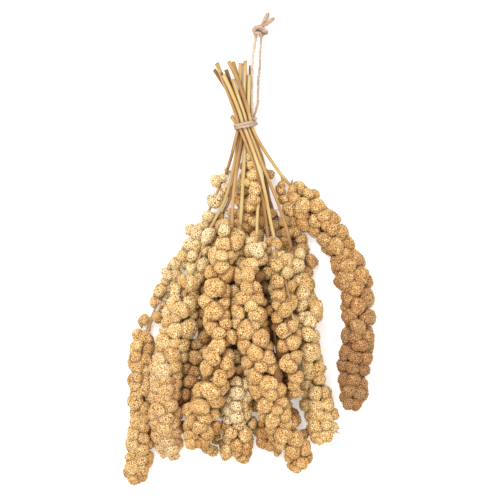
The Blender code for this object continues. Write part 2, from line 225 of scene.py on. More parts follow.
SPRAYS = [
    Spray(
        "01",
        [(-14.0, 118.4), (-9.2, 112.0), (-4.2, 104.5), (-1.0, 94.0)],
        [(-1.0, 94.0, 6.0), (0.0, 70.0, 8.0), (1.0, 47.5, 9.0), (2.0, 21.5, 9.5),
         (4.5, -8.5, 10.0), (5.0, -38.5, 10.0), (7.0, -68.5, 10.0), (9.0, -98.5, 10.0),
         (13.0, -131.0, 9.0)],
        straw=[(0, 0.3), (1, 0.25)],
        size=6.3, ripe=[(0, 0.3), (0.3, 0.5), (1, 0.5)], worn=[(0, 0.1), (1, 0.25)],
        seen=[
            (-0, 88, 4.1, -1, 4), (2, 81, 4.9, 0, 6), (3, 74, 5.2, 0, 6), (-4, 81, 4.1, 1),
            (-4, 73, 4.5, 1), (4, 63, 5.2, 0, 6), (-6, 63, 5.6, 0), (-1, 68, 3.8, 0, 3),
            (3, 56, 4.9, 0, 5), (-8, 55, 4.9, 1), (-4, 52, 5.2, 0), (1, 51, 5.2, 0, 4),
            (8, 55, 4.5, 1), (-13, 45, 4.5, 0), (-9, 45, 3.8, 0), (-2, 42, 4.1, 1),
            (2, 39, 4.1, -1), (9, 48, 3.8, 1), (10, 39, 4.1, 1), (4, -99, 5.2, 1),
            (9, -112, 3.8, 2), (10, -120, 6.0, 2), (9, -127, 5.2, 1), (16, -129, 5.6, 1),
            (21, -134, 4.1, -1), (-10, 38, 4.1, 1), (-13, 35, 3.8, 1)
        ],
    ),
    Spray(
        "02",
        [(-13.0, 159.5), (-9.0, 146.5), (-3.8, 127.0), (0.1, 112.0), (4.7, 98.5), (9.4, 86.0),
         (11.8, 72.0), (13.6, 60.0), (16.0, 50.0)],
        [(16.0, 50.0, 4.5), (21.0, 42.0, 7.0), (27.0, 33.5, 8.5), (31.5, 25.0, 9.5),
         (36.0, 11.5, 9.5), (38.0, -6.5, 9.5), (39.0, -23.5, 9.0), (38.0, -42.5, 9.0),
         (37.0, -57.5, 8.0)],
        straw=[(0, 0.4), (0.4, 0.6), (1, 0.9)],
        size=6.2, ripe=[(0, 0.35), (1, 0.5)], worn=[(0, 0.6), (0.45, 0.4), (1, 0.35)],
        seen=[
            (15, 75, 4.1, 2), (16, 45, 4.5, 2), (19, 36, 3.8, 2), (22, 30, 4.1, 2),
            (26, 39, 4.9, 1), (32, 39, 5.2, 1), (28, 31, 4.9, 1), (34, 31, 4.9, 1),
            (39, 25, 5.4, 1), (26, 24, 4.5, 2), (40, 19, 5.2, 1), (46, 9, 5.8, 1),
            (43, 1, 4.9, 1), (15, 39, 3.8, 2), (14, 31, 4.1, 2)
        ],
    ),
    Spray(
        "03",
        [(-18.0, 153.5), (-13.0, 137.5), (-7.7, 122.5), (-4.9, 112.0), (-6.0, 100.0),
         (-9.0, 83.0), (-15.0, 57.5), (-20.0, 46.0)],
        [(-20.0, 46.0, 4.5), (-25.5, 25.0, 7.0), (-31.0, 2.5, 8.5), (-34.5, -20.0, 9.5),
         (-38.0, -42.5, 9.5), (-42.0, -62.5, 9.5), (-45.0, -81.5, 9.5), (-45.0, -98.5, 9.5),
         (-40.0, -116.0, 9.0), (-32.0, -132.5, 8.0)],
        straw=[(0, 1.0), (0.25, 0.8), (0.4, 0.55), (1, 0.6)],
        size=6.1, ripe=[(0, 0.35), (1, 0.5)], worn=[(0, 0.3), (0.8, 0.35), (1, 0.15)],
        seen=[
            (-35, -12, 3.8, 2), (-35, -22, 4.5, 2), (-35, -30, 4.5, 2), (-39, -37, 4.5, 2),
            (-34, -48, 5.6, 1), (-40, -53, 4.5, 1), (-34, -59, 5.6, 0), (-41, -63, 6.4, 1),
            (-49, -71, 4.9, 2), (-42, -74, 5.2, 2), (-45, -81, 6.0, 1), (-50, -92, 5.6, 2),
            (-50, -102, 4.5, 2), (-50, -116, 4.5, 2), (-27, -125, 4.1, -1), (-32, -132, 4.9, -1),
            (-28, -134, 4.5, -1), (-34, -78, 4.5, 1)
        ],
    ),
    Spray(
        "04",
        [(-7.0, 158.5), (-7.3, 137.5), (-7.8, 121.0), (-8.4, 112.0), (-11.0, 101.0),
         (-13.7, 89.5), (-17.0, 79.0)],
        [(-17.0, 79.0, 4.0), (-23.0, 65.5, 6.0), (-30.0, 49.0, 6.5), (-37.0, 34.0, 6.5),
         (-45.0, 19.0, 6.5), (-55.0, 4.0, 6.5), (-64.5, -12.5, 6.5), (-73.0, -29.0, 5.0),
         (-79.0, -46.0, 6.5), (-82.0, -65.0, 9.5), (-82.0, -87.5, 9.8), (-82.0, -110.0, 9.8),
         (-82.5, -132.5, 10.0), (-86.0, -159.0, 9.0)],
        straw=[(0, 0.5), (0.5, 0.3), (1, 0.4)],
        size=5.9, spacing=[(0, 5.0), (0.38, 5.0), (0.46, 8.5), (0.52, 3.1), (1, 2.7)],
        crack_shade=0.6,
        ripe=[(0, 0.16), (0.4, 0.2), (0.55, 0.48), (1, 0.48)],
        worn=[(0, 0.15), (0.4, 0.2), (0.55, 0.2), (1, 0.22)],
        shown=[[(-65.2, -22.9), (-70.5, -31.1), (-75.0, -37.4), (-76.0, -43.9)]],
        wisps=[((-17.4, 78.0), (-14.6, 72.8)), ((-81.5, -42.0), (-84.5, -33.0))],
        seen=[
            (-21, 72, 3.8, -1), (-26, 70, 5.2, -1), (-18, 63, 5.2, -1), (-20, 60, 4.5, -1),
            (-27, 54, 6.0, -1), (-32, 43, 5.2, -1), (-33, 37, 4.9, -1), (-40, 29, 6.0, -1),
            (-45, 22, 6.0, -1), (-48, 22, 3.8, -1), (-51, 13, 5.2, 1), (-56, 7, 4.5, 0),
            (-48, 7, 4.9, -1), (-60, 6, 3.4, 0), (-56, -2, 5.6, 0), (-62, -2, 3.8, -1),
            (-64, -6, 4.1, 0), (-68, -13, 5.2, 0), (-62, -16, 4.1, -1), (-72, -21, 4.9, 0),
            (-65, -24, 3.8, 0), (-69, -33, 5.0, 1, 3), (-80, -35, 4.5, 0), (-85, -46, 4.9, 0),
            (-78, -48, 5.2, 0), (-86, -56, 6.0, 0), (-76, -57, 5.6, 0), (-86, -63, 5.2, 0),
            (-78, -65, 4.9, 0), (-78, -73, 5.6, -1), (-85, -71, 5.6, 0), (-85, -78, 4.9, 0, 1),
            (-77, -81, 5.2, -1), (-86, -85, 5.6, 0), (-78, -88, 5.6, -1, 1), (-85, -91, 5.2, 0),
            (-75, -94, 5.2, 0), (-86, -98, 6.0, -1), (-79, -101, 4.9, 0, 1),
            (-86, -105, 5.6, -1), (-79, -109, 4.9, 0), (-86, -112, 5.6, -1, 1),
            (-80, -116, 4.9, 0), (-87, -121, 6.0, -1), (-80, -124, 5.2, 0), (-76, -129, 4.1, 1),
            (-88, -129, 6.0, -1), (-81, -133, 5.6, 0, 1), (-89, -138, 4.9, 0),
            (-76, -138, 4.5, 1), (-82, -140, 6.0, -1), (-89, -146, 6.0, -1), (-81, -148, 5.2, 0),
            (-88, -152, 6.0, -1), (-81, -153, 4.5, 1), (-88, -156, 3.8, 0), (-45, 33, 4.5, -1),
            (-52, -9, 3.8, 0)
        ],
    ),
    Spray(
        "05",
        [(-25.0, 158.0), (-16.7, 137.0), (-10.7, 120.5), (-8.3, 112.0), (-3.0, 98.5),
         (4.5, 79.0), (9.2, 58.0), (12.8, 32.5), (14.0, 19.0)],
        [(14.0, 19.0, 4.5), (15.0, -1.0, 7.0), (16.5, -23.5, 8.5), (19.0, -50.0, 9.0),
         (22.5, -76.0, 8.5), (27.0, -98.5, 7.0), (35.5, -121.0, 8.5)],
        straw=[(0, 0.35), (0.4, 0.45), (1, 0.6)],
        size=6.1, ripe=[(0, 0.35), (1, 0.5)], worn=[(0, 0.15), (0.8, 0.3), (1, 0.6)],
        seen=[
            (15, 24, 3.8, 2), (14, 9, 4.5, 0), (13, 0, 5.2, 0), (14, -28, 4.5, 2),
            (28, -92, 4.5, 2), (34, -111, 5.2, 2), (40, -122, 5.2, 2), (28, -80, 4.1, 3),
            (26, -74, 3.8, 3), (22, -63, 3.8, 3)
        ],
    ),
    Spray(
        "06",
        [(-1.0, 149.5), (-1.4, 131.5), (-2.0, 112.0), (-3.3, 100.0), (-4.5, 84.5),
         (-5.5, 62.5), (-7.5, 35.5)],
        [(-7.5, 35.5, 5.0), (-8.5, 14.0, 7.5), (-11.5, -12.5, 9.0), (-14.5, -35.0, 10.0),
         (-14.5, -53.5, 10.5), (-11.5, -71.0, 11.0), (-8.5, -87.5, 11.5), (-9.5, -104.0, 11.5),
         (-9.0, -121.0, 11.5), (-7.5, -141.5, 10.0)],
        straw=[(0, 0.15), (1, 0.2)],
        size=6.5, worn=[(0, 0.05), (0.85, 0.1), (1, 0.25)],
        ripe=[(0, 0.3), (0.2, 0.36), (0.66, 0.3), (0.74, 0.12), (0.8, 0.14), (0.88, 0.42),
              (1, 0.45)],
        wisps=[((-15.5, -101.0), (-21.3, -110.8))],
        seen=[
            (-9, 28, 5.6, 0), (-8, 18, 6.0, 0), (-6, 8, 5.2, 0), (-14, 0, 6.0, 0, 5),
            (-12, -13, 5.2, 0, 6), (-11, -22, 6.0, 0, 6), (-16, -29, 5.2, 0, 8),
            (-11, -62, 5.2, 0), (-10, -81, 5.2, -1), (-2, -83, 6.4, -1), (-10, -89, 6.0, -2),
            (-3, -91, 6.4, -1), (-16, -93, 3.8, -2), (-10, -99, 5.6, -1), (-4, -99, 3.8, 2),
            (-17, -101, 6.0, -2), (-3, -104, 5.6, 2), (-10, -107, 5.6, -1), (-17, -109, 3.8, -2),
            (-8, -112, 4.9, 0), (2, -112, 4.5, 1), (-18, -113, 4.5, 2), (-22, -117, 3.8, 0),
            (-14, -119, 5.2, 0), (-4, -120, 6.4, 0), (-16, -123, 6.0, 0), (-10, -129, 4.9, 1),
            (-20, -129, 4.5, -1), (-4, -131, 5.2, 2), (-18, -134, 6.0, 0), (-10, -134, 5.2, 1),
            (-5, -139, 4.5, 1), (-22, -105, 3.8, 2), (-8, -72, 3.8, 2, -3),
            (-25, -122, 3.8, 2, -2)
        ],
    ),
    Spray(
        "07",
        [(-3.5, 160.0), (-4.2, 137.5), (-4.9, 119.0), (-5.2, 110.0), (-8.4, 89.0),
         (-12.0, 62.0), (-13.5, 35.5)],
        [(-13.5, 35.5, 5.0), (-18.0, 17.5, 8.0), (-23.0, -1.0, 9.5), (-25.5, -20.0, 10.5),
         (-24.0, -35.0, 11.0), (-22.5, -50.0, 11.0), (-23.0, -66.5, 11.5),
         (-28.5, -86.0, 11.5), (-35.0, -104.0, 11.5), (-40.0, -128.0, 10.0)],
        straw=[(0, 0.4), (0.3, 0.4), (0.45, 0.7), (1, 0.65)],
        size=6.5, ripe=[(0, 0.25), (0.2, 0.48), (1, 0.52)], worn=[(0, 0.05), (1, 0.08)],
        seen=[
            (-19, 32, 4.9, -2), (-19, 21, 6.0, 0), (-15, 14, 3.8, 0), (-21, 13, 4.9, -1),
            (-21, 5, 6.0, 0), (-26, -10, 7.5, 0), (-18, -13, 5.6, 0), (-20, -23, 4.9, 0),
            (-26, -28, 7.1, 0), (-18, -37, 4.9, 0), (-28, -41, 6.0, 0), (-23, -44, 4.9, -1),
            (-13, -47, 6.0, 0), (-24, -54, 6.4, 0), (-27, -63, 6.0, 0), (-17, -67, 5.2, 0),
            (-32, -70, 6.4, 0), (-16, -71, 6.0, 0), (-22, -77, 6.0, 0), (-29, -87, 6.8, 0, 1.5),
            (-20, -84, 5.6, 0), (-37, -87, 6.4, 0), (-26, -94, 6.4, 0), (-37, -99, 7.1, 0, 1.5),
            (-46, -102, 5.6, 0), (-28, -105, 5.6, 0), (-34, -107, 6.0, 0), (-44, -110, 5.2, 0),
            (-46, -114, 4.9, 0), (-37, -114, 6.0, 0), (-26, -115, 5.2, 2), (-32, -118, 6.0, 0),
            (-44, -122, 6.4, 0), (-35, -126, 5.2, 1), (-44, -127, 4.9, 0), (-39, -127, 3.4, 1),
            (-23, -70, 3.8, 3, -4)
        ],
    ),
    Spray(
        "08",
        [(-27.0, 153.5), (-19.4, 142.0), (-16.0, 135.0), (-11.3, 122.0), (-8.1, 112.0),
         (-8.8, 100.0), (-12.5, 79.0), (-18.5, 56.5), (-25.5, 42.5), (-32.0, 29.5)],
        [(-32.0, 29.5, 3.5), (-38.0, 13.0, 5.0), (-45.0, -5.0, 7.0), (-49.5, -22.0, 9.0),
         (-53.0, -36.5, 10.5), (-59.0, -53.5, 11.0), (-62.0, -71.0, 11.2),
         (-64.0, -91.0, 11.2), (-63.0, -113.5, 11.0), (-58.5, -140.5, 10.0)],
        straw=[(0, 0.75), (0.4, 0.7), (1, 0.15)],
        size=5.6, spacing=[(0, 3.8), (0.4, 3.0), (0.5, 2.1), (1, 2.1)],
        ripe=[(0, 0.2), (0.4, 0.36), (0.6, 0.36), (1, 0.3)],
        worn=[(0, 0.05), (0.5, 0.1), (0.7, 0.18), (1, 0.18)],
        bare=(3.0, 62.0), crack_shade=0.5, blush=[(0.45, 0.0), (0.7, 0.6), (0.9, 0.6), (1, 0.2)],
        shown=[
            [(-31.5, 26.6), (-38.2, 11.6), (-44.6, -2.6)],
            [(-47.2, -9.4), (-49.5, -21.4)],
        ],
        seen=[
            (-31, 28, 6.0, -2), (-33, 17, 4.9, -1), (-43, 13, 4.5, -1), (-35, 6, 5.6, -1),
            (-37, -3, 4.9, 0), (-43, -8, 6.0, 0), (-56, -13, 4.9, -1), (-45, -23, 6.4, 0),
            (-57, -23, 6.8, 0), (-51, -27, 6.4, 0), (-62, -29, 4.9, -1), (-42, -31, 4.1, 0),
            (-55, -32, 4.9, 0), (-62, -36, 5.2, 0), (-46, -42, 7.5, 0), (-63, -42, 5.6, -1),
            (-56, -43, 6.4, 0), (-65, -52, 7.1, 0), (-56, -52, 4.9, 0), (-50, -54, 6.0, 0),
            (-58, -61, 6.8, 1), (-50, -62, 4.9, 0), (-68, -65, 6.0, -1), (-56, -70, 5.6, 0),
            (-71, -71, 5.6, -1), (-65, -73, 6.8, -2), (-55, -76, 5.2, -1), (-63, -80, 4.5, 0),
            (-71, -79, 5.6, -1), (-62, -87, 6.0, 0, 1.5), (-55, -83, 4.9, 0), (-70, -85, 5.6, 0),
            (-64, -94, 6.0, 0), (-56, -91, 5.2, 0), (-72, -93, 5.2, 0), (-68, -102, 6.0, 0, 1.5),
            (-59, -99, 6.0, 0, 1), (-54, -105, 4.9, 1), (-72, -106, 5.6, 0), (-63, -108, 6.0, 0),
            (-57, -111, 6.0, 1), (-70, -113, 5.6, 0), (-64, -116, 6.4, 0, 1.5),
            (-56, -119, 5.6, 0), (-70, -122, 5.6, 0), (-62, -125, 6.0, -1), (-56, -125, 4.9, 1),
            (-71, -129, 3.0, -1), (-53, -129, 3.4, 1), (-67, -130, 5.2, -1),
            (-59, -132, 5.6, -1), (-65, -135, 3.8, 0), (-57, -137, 4.5, 0), (-42, -15, 4.5, 1),
            (-40, -21, 3.8, 1), (-59, -81, 3.8, 2, -3), (-53, -96, 3.4, 3, -3)
        ],
    ),
    Spray(
        "09",
        [(0.6, 157.0), (0.3, 134.0), (-0.4, 112.0), (1.2, 100.0), (4.6, 82.0),
         (6.8, 62.0), (5.6, 45.0), (5.0, 28.0)],
        [(5.0, 28.0, 5.0), (3.0, 11.5, 8.0), (-0.5, -8.5, 10.5), (-0.5, -27.5, 11.5),
         (1.5, -45.5, 11.8), (4.5, -59.0, 12.0), (8.5, -71.0, 12.0), (13.0, -83.5, 12.0),
         (18.0, -98.5, 12.0), (23.0, -113.0, 12.0), (29.0, -127.0, 11.5),
         (36.0, -146.0, 10.0)],
        straw=[(0, 0.9), (0.35, 0.6), (0.7, 0.2), (1, 0.15)],
        size=6.6, ripe=[(0, 0.2), (0.15, 0.42), (1, 0.54)], worn=[(0, 0.05), (1, 0.08)],
        seen=[
            (5, 17, 6.0, -2), (1, 7, 5.2, 0), (-2, -1, 6.4, 0), (-2, -11, 5.6, 0),
            (4, -11, 5.2, 1), (5, -18, 6.0, 0), (-5, -18, 5.6, 0), (1, -24, 5.2, -1),
            (-9, -29, 6.8, 0), (6, -31, 7.5, 0), (10, -37, 4.5, 0), (-10, -37, 5.2, -1),
            (4, -38, 4.5, 0), (-3, -42, 7.5, 0), (8, -48, 7.1, 0), (-4, -54, 6.0, 0),
            (14, -54, 4.5, 0), (4, -59, 7.1, 0), (13, -63, 6.0, 0), (-2, -67, 6.0, 0),
            (8, -69, 5.2, 0), (16, -69, 6.4, 0), (4, -76, 6.4, 0), (13, -82, 7.1, 0),
            (21, -86, 6.0, 0), (5, -87, 6.4, 0), (15, -89, 6.0, 0), (22, -96, 6.4, 0),
            (12, -97, 6.8, 0), (20, -101, 4.9, 0), (10, -105, 5.2, 0), (26, -105, 5.6, 0),
            (17, -108, 6.8, 0), (26, -111, 6.0, 0), (16, -116, 5.2, 0), (24, -120, 6.8, 0),
            (34, -123, 6.8, 0), (22, -127, 5.2, 0), (41, -131, 6.4, 0), (32, -132, 6.8, 0),
            (44, -137, 4.1, 1), (29, -138, 4.1, 0), (44, -140, 3.8, 0), (38, -141, 6.4, 0),
            (32, -145, 4.5, 0), (35, -147, 3.8, 0), (10, -21, 3.4, 1)
        ],
    ),
    Spray(
        "10",
        [(-13.0, 146.0), (-8.3, 131.5), (-4.2, 119.5), (-2.0, 112.0), (2.6, 99.0),
         (9.0, 82.0), (17.6, 61.5), (26.0, 38.0), (31.5, 17.5)],
        [(31.5, 17.5, 4.0), (37.0, -3.5, 6.0), (40.5, -23.5, 7.5), (42.0, -42.5, 8.5),
         (43.5, -57.5, 9.5), (46.0, -72.5, 11.0), (49.5, -91.0, 11.5), (52.5, -106.0, 11.0),
         (55.5, -125.0, 10.0)],
        straw=[(0, 0.25), (0.6, 0.35), (1, 0.65)],
        size=6.2, spacing=[(0, 3.3), (0.4, 3.3), (0.6, 2.7), (1, 2.7)], crack_shade=0.6,
        ripe=[(0, 0.2), (0.3, 0.3), (1, 0.34)], worn=[(0, 0.15), (0.4, 0.1), (1, 0.05)],
        wisps=[((61.5, -116.5), (67.8, -121.0))],
        seen=[
            (35, 6, 6.0, 0), (34, -6, 5.2, 0), (42, -9, 5.6, 1), (39, -15, 6.0, 0),
            (37, -24, 6.0, -1), (50, -26, 6.0, 1), (50, -31, 6.0, 1), (39, -33, 4.5, -1),
            (44, -35, 6.4, -1), (43, -45, 6.0, 0), (48, -47, 5.6, -1), (45, -58, 7.3, 0),
            (42, -69, 6.4, 0), (51, -71, 6.0, 1), (44, -75, 5.2, 0), (52, -79, 5.6, 0),
            (41, -82, 6.4, 0), (49, -90, 6.0, 0), (56, -90, 4.9, 1), (41, -90, 4.9, 0),
            (58, -98, 6.4, 0), (42, -99, 5.6, 0), (49, -99, 6.0, 0), (50, -106, 6.0, 0),
            (63, -106, 4.5, 1), (44, -108, 4.1, 0), (57, -108, 6.4, 0), (49, -114, 6.0, 0),
            (57, -114, 4.5, 0), (62, -116, 4.9, -1), (46, -118, 4.9, 0), (57, -121, 6.4, 0),
            (50, -123, 5.6, 0), (53, -125, 4.1, 0)
        ],
    ),
    Spray(
        "11",
        [(-20.0, 149.5), (-13.8, 136.0), (-8.1, 121.5), (-5.2, 112.0), (0.1, 98.5),
         (6.6, 79.0), (11.8, 58.0), (15.6, 38.0), (19.5, 20.5)],
        [(19.5, 20.5, 4.0), (23.0, 4.0, 7.0), (25.5, -12.5, 8.5), (26.0, -29.0, 9.0),
         (27.0, -46.0, 9.0), (28.5, -61.0, 9.0), (33.0, -81.5, 8.0)],
        straw=[(0, 0.1), (0.5, 0.25), (1, 0.3)],
        size=6.1, spacing=[(0, 3.8), (0.5, 3.4), (1, 3.0)],
        ripe=[(0, 0.25), (0.3, 0.45), (1, 0.52)], worn=[(0, 0.15), (1, 0.15)], bare=(2.0, 48.0),
        shown=[
            [(26.0, -3.4), (28.1, -12.4), (30.3, -22.5)],
            [(30.6, -28.6), (33.2, -36.0)],
        ],
        seen=[
            (20, 22, 3.8, 2), (20, 6, 5.2, 0), (28, 1, 4.5, -1), (20, -7, 5.6, 0),
            (21, -18, 6.0, 0), (20, -23, 4.5, 0), (26, -27, 5.6, 0), (20, -33, 4.9, 1),
            (31, -39, 4.9, 0), (25, -42, 6.0, 0), (35, -45, 4.1, 0), (32, -51, 6.8, 0),
            (24, -54, 4.5, 1), (34, -62, 5.2, 0), (29, -67, 7.1, 0), (34, -77, 6.0, 0),
            (32, -83, 4.5, 0), (34, -89, 4.9, 0), (28, -36, 3.4, 3, -4)
        ],
    ),
    Spray(
        "12",
        [(-16.0, 159.5), (-10.6, 148.5), (-5.3, 134.0), (-0.9, 119.5), (1.1, 112.0),
         (4.6, 103.0), (11.6, 91.5), (22.0, 76.5), (31.0, 65.5)],
        [(31.0, 65.5, 6.0), (40.5, 54.5, 9.5), (51.0, 43.0, 11.0), (61.5, 29.5, 11.5),
         (70.5, 13.0, 11.8), (77.0, -5.0, 12.0), (81.0, -23.5, 12.0), (82.0, -42.5, 12.0),
         (80.0, -61.0, 11.8), (78.0, -80.0, 11.2), (77.0, -101.0, 10.0)],
        straw=[(0, 0.4), (0.3, 0.55), (0.42, 0.15), (0.9, 0.25), (1, 0.5)], crack_shade=0.65,
        size=6.5, ripe=[(0, 0.42), (0.3, 0.6), (0.6, 0.72), (1, 0.9)],
        worn=[(0, 0.15), (0.3, 0.25), (0.5, 0.4), (0.7, 0.5), (1, 0.55)],
        wisps=[((31.0, 66.0), (33.4, 72.6))],
        seen=[
            (23, 63, 4.7, 0), (24, 67, 3.5, 2), (26, 56, 5.1, 0), (29, 48, 5.6, 0),
            (32, 63, 3.9, 1), (39, 64, 5.1, 0), (44, 60, 4.7, 0), (49, 60, 4.3, 1),
            (33, 56, 5.1, 0), (40, 51, 6.3, 0), (51, 50, 6.3, 0), (39, 45, 6.3, 0),
            (55, 43, 5.6, 0), (62, 42, 6.3, 1), (49, 39, 5.1, -1), (40, 36, 5.9, 1),
            (58, 36, 5.1, 0), (62, 33, 5.1, 0), (48, 32, 5.6, 0), (68, 31, 5.9, 0),
            (57, 25, 6.7, 0), (74, 22, 5.9, 1), (65, 20, 6.3, 0), (61, 18, 4.7, 1),
            (70, 14, 5.9, 0), (79, 12, 6.3, 0), (83, 9, 5.1, 0), (66, 7, 5.9, 0),
            (74, 6, 6.3, 0), (83, -1, 7.1, 0), (72, -3, 6.3, 0), (89, -6, 5.1, 1),
            (72, -9, 5.1, 0), (79, -11, 7.1, 0), (88, -18, 7.5, 0), (74, -19, 6.3, 1),
            (81, -24, 6.3, 1), (75, -33, 6.7, 1), (89, -33, 6.7, 1), (81, -40, 6.7, 0),
            (73, -47, 5.9, 1), (79, -48, 5.1, 1), (88, -49, 6.7, 1), (83, -54, 5.9, 1),
            (72, -60, 5.6, 2), (79, -63, 5.6, 2), (87, -64, 6.3, 1), (70, -69, 5.6, 2),
            (77, -71, 5.6, 1), (86, -73, 5.6, 1), (71, -80, 5.9, 2), (78, -80, 5.6, 1),
            (84, -83, 5.6, 1), (75, -88, 5.9, 1), (82, -90, 5.1, 1), (71, -93, 4.7, 2),
            (74, -98, 5.1, 2), (80, -98, 5.6, 2), (76, -55, 3.8, 3, -4)
        ],
    ),
]

# Between the heads: openings down to the surface, as (x, y, radius), and deep furrows
OPENINGS = [
    (-23.5, 79.5, 0.8), (36.5, 70, 0.8), (22, -141, 0.8),
    (33, -88, 1.1), (34, -94, 1.9), (37, -101, 2.6), (39, -108, 3.4), (41, -115, 3.4),
    (44, -122, 3.0), (-67, -36, 2.2), (-70, -39, 1.9), (-65, -33, 1.9), (-74, -33, 1.5),
    (16, 63, 2.2), (16, 58, 2.6), (16, 53, 1.9), (21, 41, 0.8), (9, 50, 0.4), (-40, -45, 0.4),
    (-50, -107, 0.4), (-49, -117, 0.4), (6, -111, 0.4), (-16, 72, 1.1),
    (-29, 65, 1.9), (-35, 51, 1.5), (-55, 20, 2.2), (-76, -29, 1.9), (-44, -127, 2.6),
    (-40, -132, 2.2), (9, 69, 0.8), (-95, -66, 0.8), (-94, -90, 0.8), (-81, -40, 1.1),
    (-71, -45, 1.1), (-42, 43, 0.8), (58, -63, 0.8),
]
FURROWS = [
    [
        (-28, 9), (-32, -9), (-35, -20), (-34, -29), (-38, -39), (-40, -48), (-45, -57),
        (-48, -66), (-50, -76), (-52, -87), (-52, -99), (-52, -108), (-52, -117),
    ],
    [
        (-11, -54), (-8, -65), (-10, -72), (-15, -80), (-16, -87),
    ],
    [
        (0, -91), (0, -102), (9, -114), (14, -125),
    ],
]
DEEP_FURROW = [
    (9, -9), (11, -20), (14, -30), (15, -40), (18, -50), (21, -63), (24.5, -72),
    (26, -80), (28.5, -88),
]

# The loop's two strands, from the tie to the top knot, and the twine in the knots
STRAND_LEFT = [
    (1.6, 123.8, 7.2), (1.3, 127.0, 6.95), (1.3, 131.0, 6.95), (1.4, 140.0, 6.95),
    (1.6, 149.0, 6.95), (1.6, 154.0, 6.95), (1.7, 159.0, 6.6), (2.2, 165.0, 4.3),
    (3.0, 171.0, 2.1), (3.8, 175.5, 1.6), (4.4, 178.6, 2.4),
]
STRAND_RIGHT = [
    (4.6, 123.2, 3.2), (5.5, 127.0, 1.8), (6.0, 131.0, 1.05), (6.3, 140.0, 1.0),
    (6.6, 149.0, 1.0), (7.4, 158.0, 1.0), (7.7, 166.0, 1.0), (8.2, 173.5, 1.3),
    (8.5, 178.6, 2.4),
]
KNOT_LEFT = [
    (4.4, 178.6, 2.4), (3.9, 180.4, 3.6), (3.3, 182.8, 5.0), (5.0, 185.4, 6.0),
    (8.6, 185.5, 6.4), (11.8, 183.6, 5.4), (12.6, 181.7, 3.6), (10.2, 181.4, 2.2),
    (7.6, 183.0, 1.7), (8.6, 186.8, 1.9), (11.0, 191.6, 1.9), (13.4, 196.2, 1.9),
]
KNOT_RIGHT = [
    (8.5, 178.6, 2.4), (8.3, 180.3, 4.4), (6.6, 181.4, 6.2), (4.0, 181.6, 5.0),
    (2.7, 183.8, 3.0), (4.6, 186.4, 2.6), (8.4, 187.0, 3.4), (11.6, 188.2, 2.4),
    (14.6, 190.4, 1.9), (17.4, 192.6, 1.9),
]
KNOT_COLLAR = [
    (10.6, 179.9, 2.0), (8.0, 181.6, 2.4), (5.6, 182.9, 3.0), (6.2, 184.9, 4.2),
    (9.0, 184.2, 5.0), (11.9, 182.2, 4.4),
]
TIE_LEFT = [
    (0.9, 113.0, 10.4), (1.3, 115.0, 9.9), (1.6, 117.5, 9.0), (1.6, 120.5, 7.9),
    (1.6, 123.8, 7.2),
]
TIE_RIGHT = [
    (2.7, 113.2, 8.4), (2.7, 115.6, 7.6), (2.9, 118.0, 6.0), (3.6, 120.6, 4.4),
    (4.6, 123.2, 3.2),
]
TIE_TURN = [
    (5.4, 112.4, 7.4), (4.0, 114.2, 9.2), (1.6, 116.2, 11.2), (0.0, 117.4, 9.8),
    (0.6, 118.2, 7.2), (2.8, 118.4, 5.0), (4.4, 117.2, 6.6), (3.6, 115.6, 8.8),
    (1.6, 114.2, 11.0),
]


def share(stops, at):
    """Value at a place between stops of (place, value)."""
    return float(np.interp(at, [s[0] for s in stops], [s[1] for s in stops]))


def distances(line):
    """Distance along a line to each of its points."""
    return np.concatenate([[0.0], np.cumsum(np.linalg.norm(np.diff(line, axis=0), axis=1))])


def smooth_line(points, step):
    """Points every step along a Catmull-Rom curve through the given points."""
    given = np.array(points, float)
    knots = np.vstack([2 * given[0] - given[1], given, 2 * given[-1] - given[-2]])
    fine = []
    for a, b, c, d in zip(knots, knots[1:], knots[2:], knots[3:]):
        for t in np.linspace(0.0, 1.0, 24, endpoint=False):
            fine.append(
                0.5 * (2 * b + (c - a) * t + (2 * a - 5 * b + 4 * c - d) * t**2
                       + (3 * b - a - 3 * c + d) * t**3)
            )
    return along(np.array([*fine, given[-1]]), step)


def along(line, step):
    """The line again, with a point every step or so."""
    run = distances(line)
    places = np.linspace(0.0, run[-1], max(2, round(run[-1] / step) + 1))
    return np.column_stack([np.interp(places, run, axis) for axis in line.T])


def solid(node):
    """A CAD piece as something rays can be sent at."""
    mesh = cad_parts[node].data
    return BVHTree.FromPolygons(
        [v.co for v in mesh.vertices], [p.vertices[:] for p in mesh.polygons]
    )


def lifted(node, plan):
    """Plan points raised to the middle of a CAD piece, from rays down and up through it."""
    tree = solid(node)
    middles = []
    for x, y in plan:
        above = tree.ray_cast((x * MM, y * MM, 1.0), (0, 0, -1))[0]
        below = tree.ray_cast((x * MM, y * MM, -1.0), (0, 0, 1))[0]
        hit = above is not None and below is not None
        middles.append((above.z + below.z) / 2 / MM if hit else math.nan)
    middles = np.array(middles)
    sure = np.flatnonzero(~np.isnan(middles))
    heights = np.interp(np.arange(len(middles)), sure, middles[sure])
    return np.column_stack([plan, heights])


def frames(line):
    """Unit vectors ahead, to the side and up at every point, turning as little as they can."""
    ahead = np.gradient(line, axis=0)
    ahead /= np.linalg.norm(ahead, axis=1)[:, None]
    side = np.cross(ahead[0], (0.0, 0.0, 1.0))
    sides = []
    for forward in ahead:
        side = side - forward * (side @ forward)
        side = side / np.linalg.norm(side)
        sides.append(side)
    sides = np.array(sides)
    return ahead, sides, np.cross(sides, ahead)


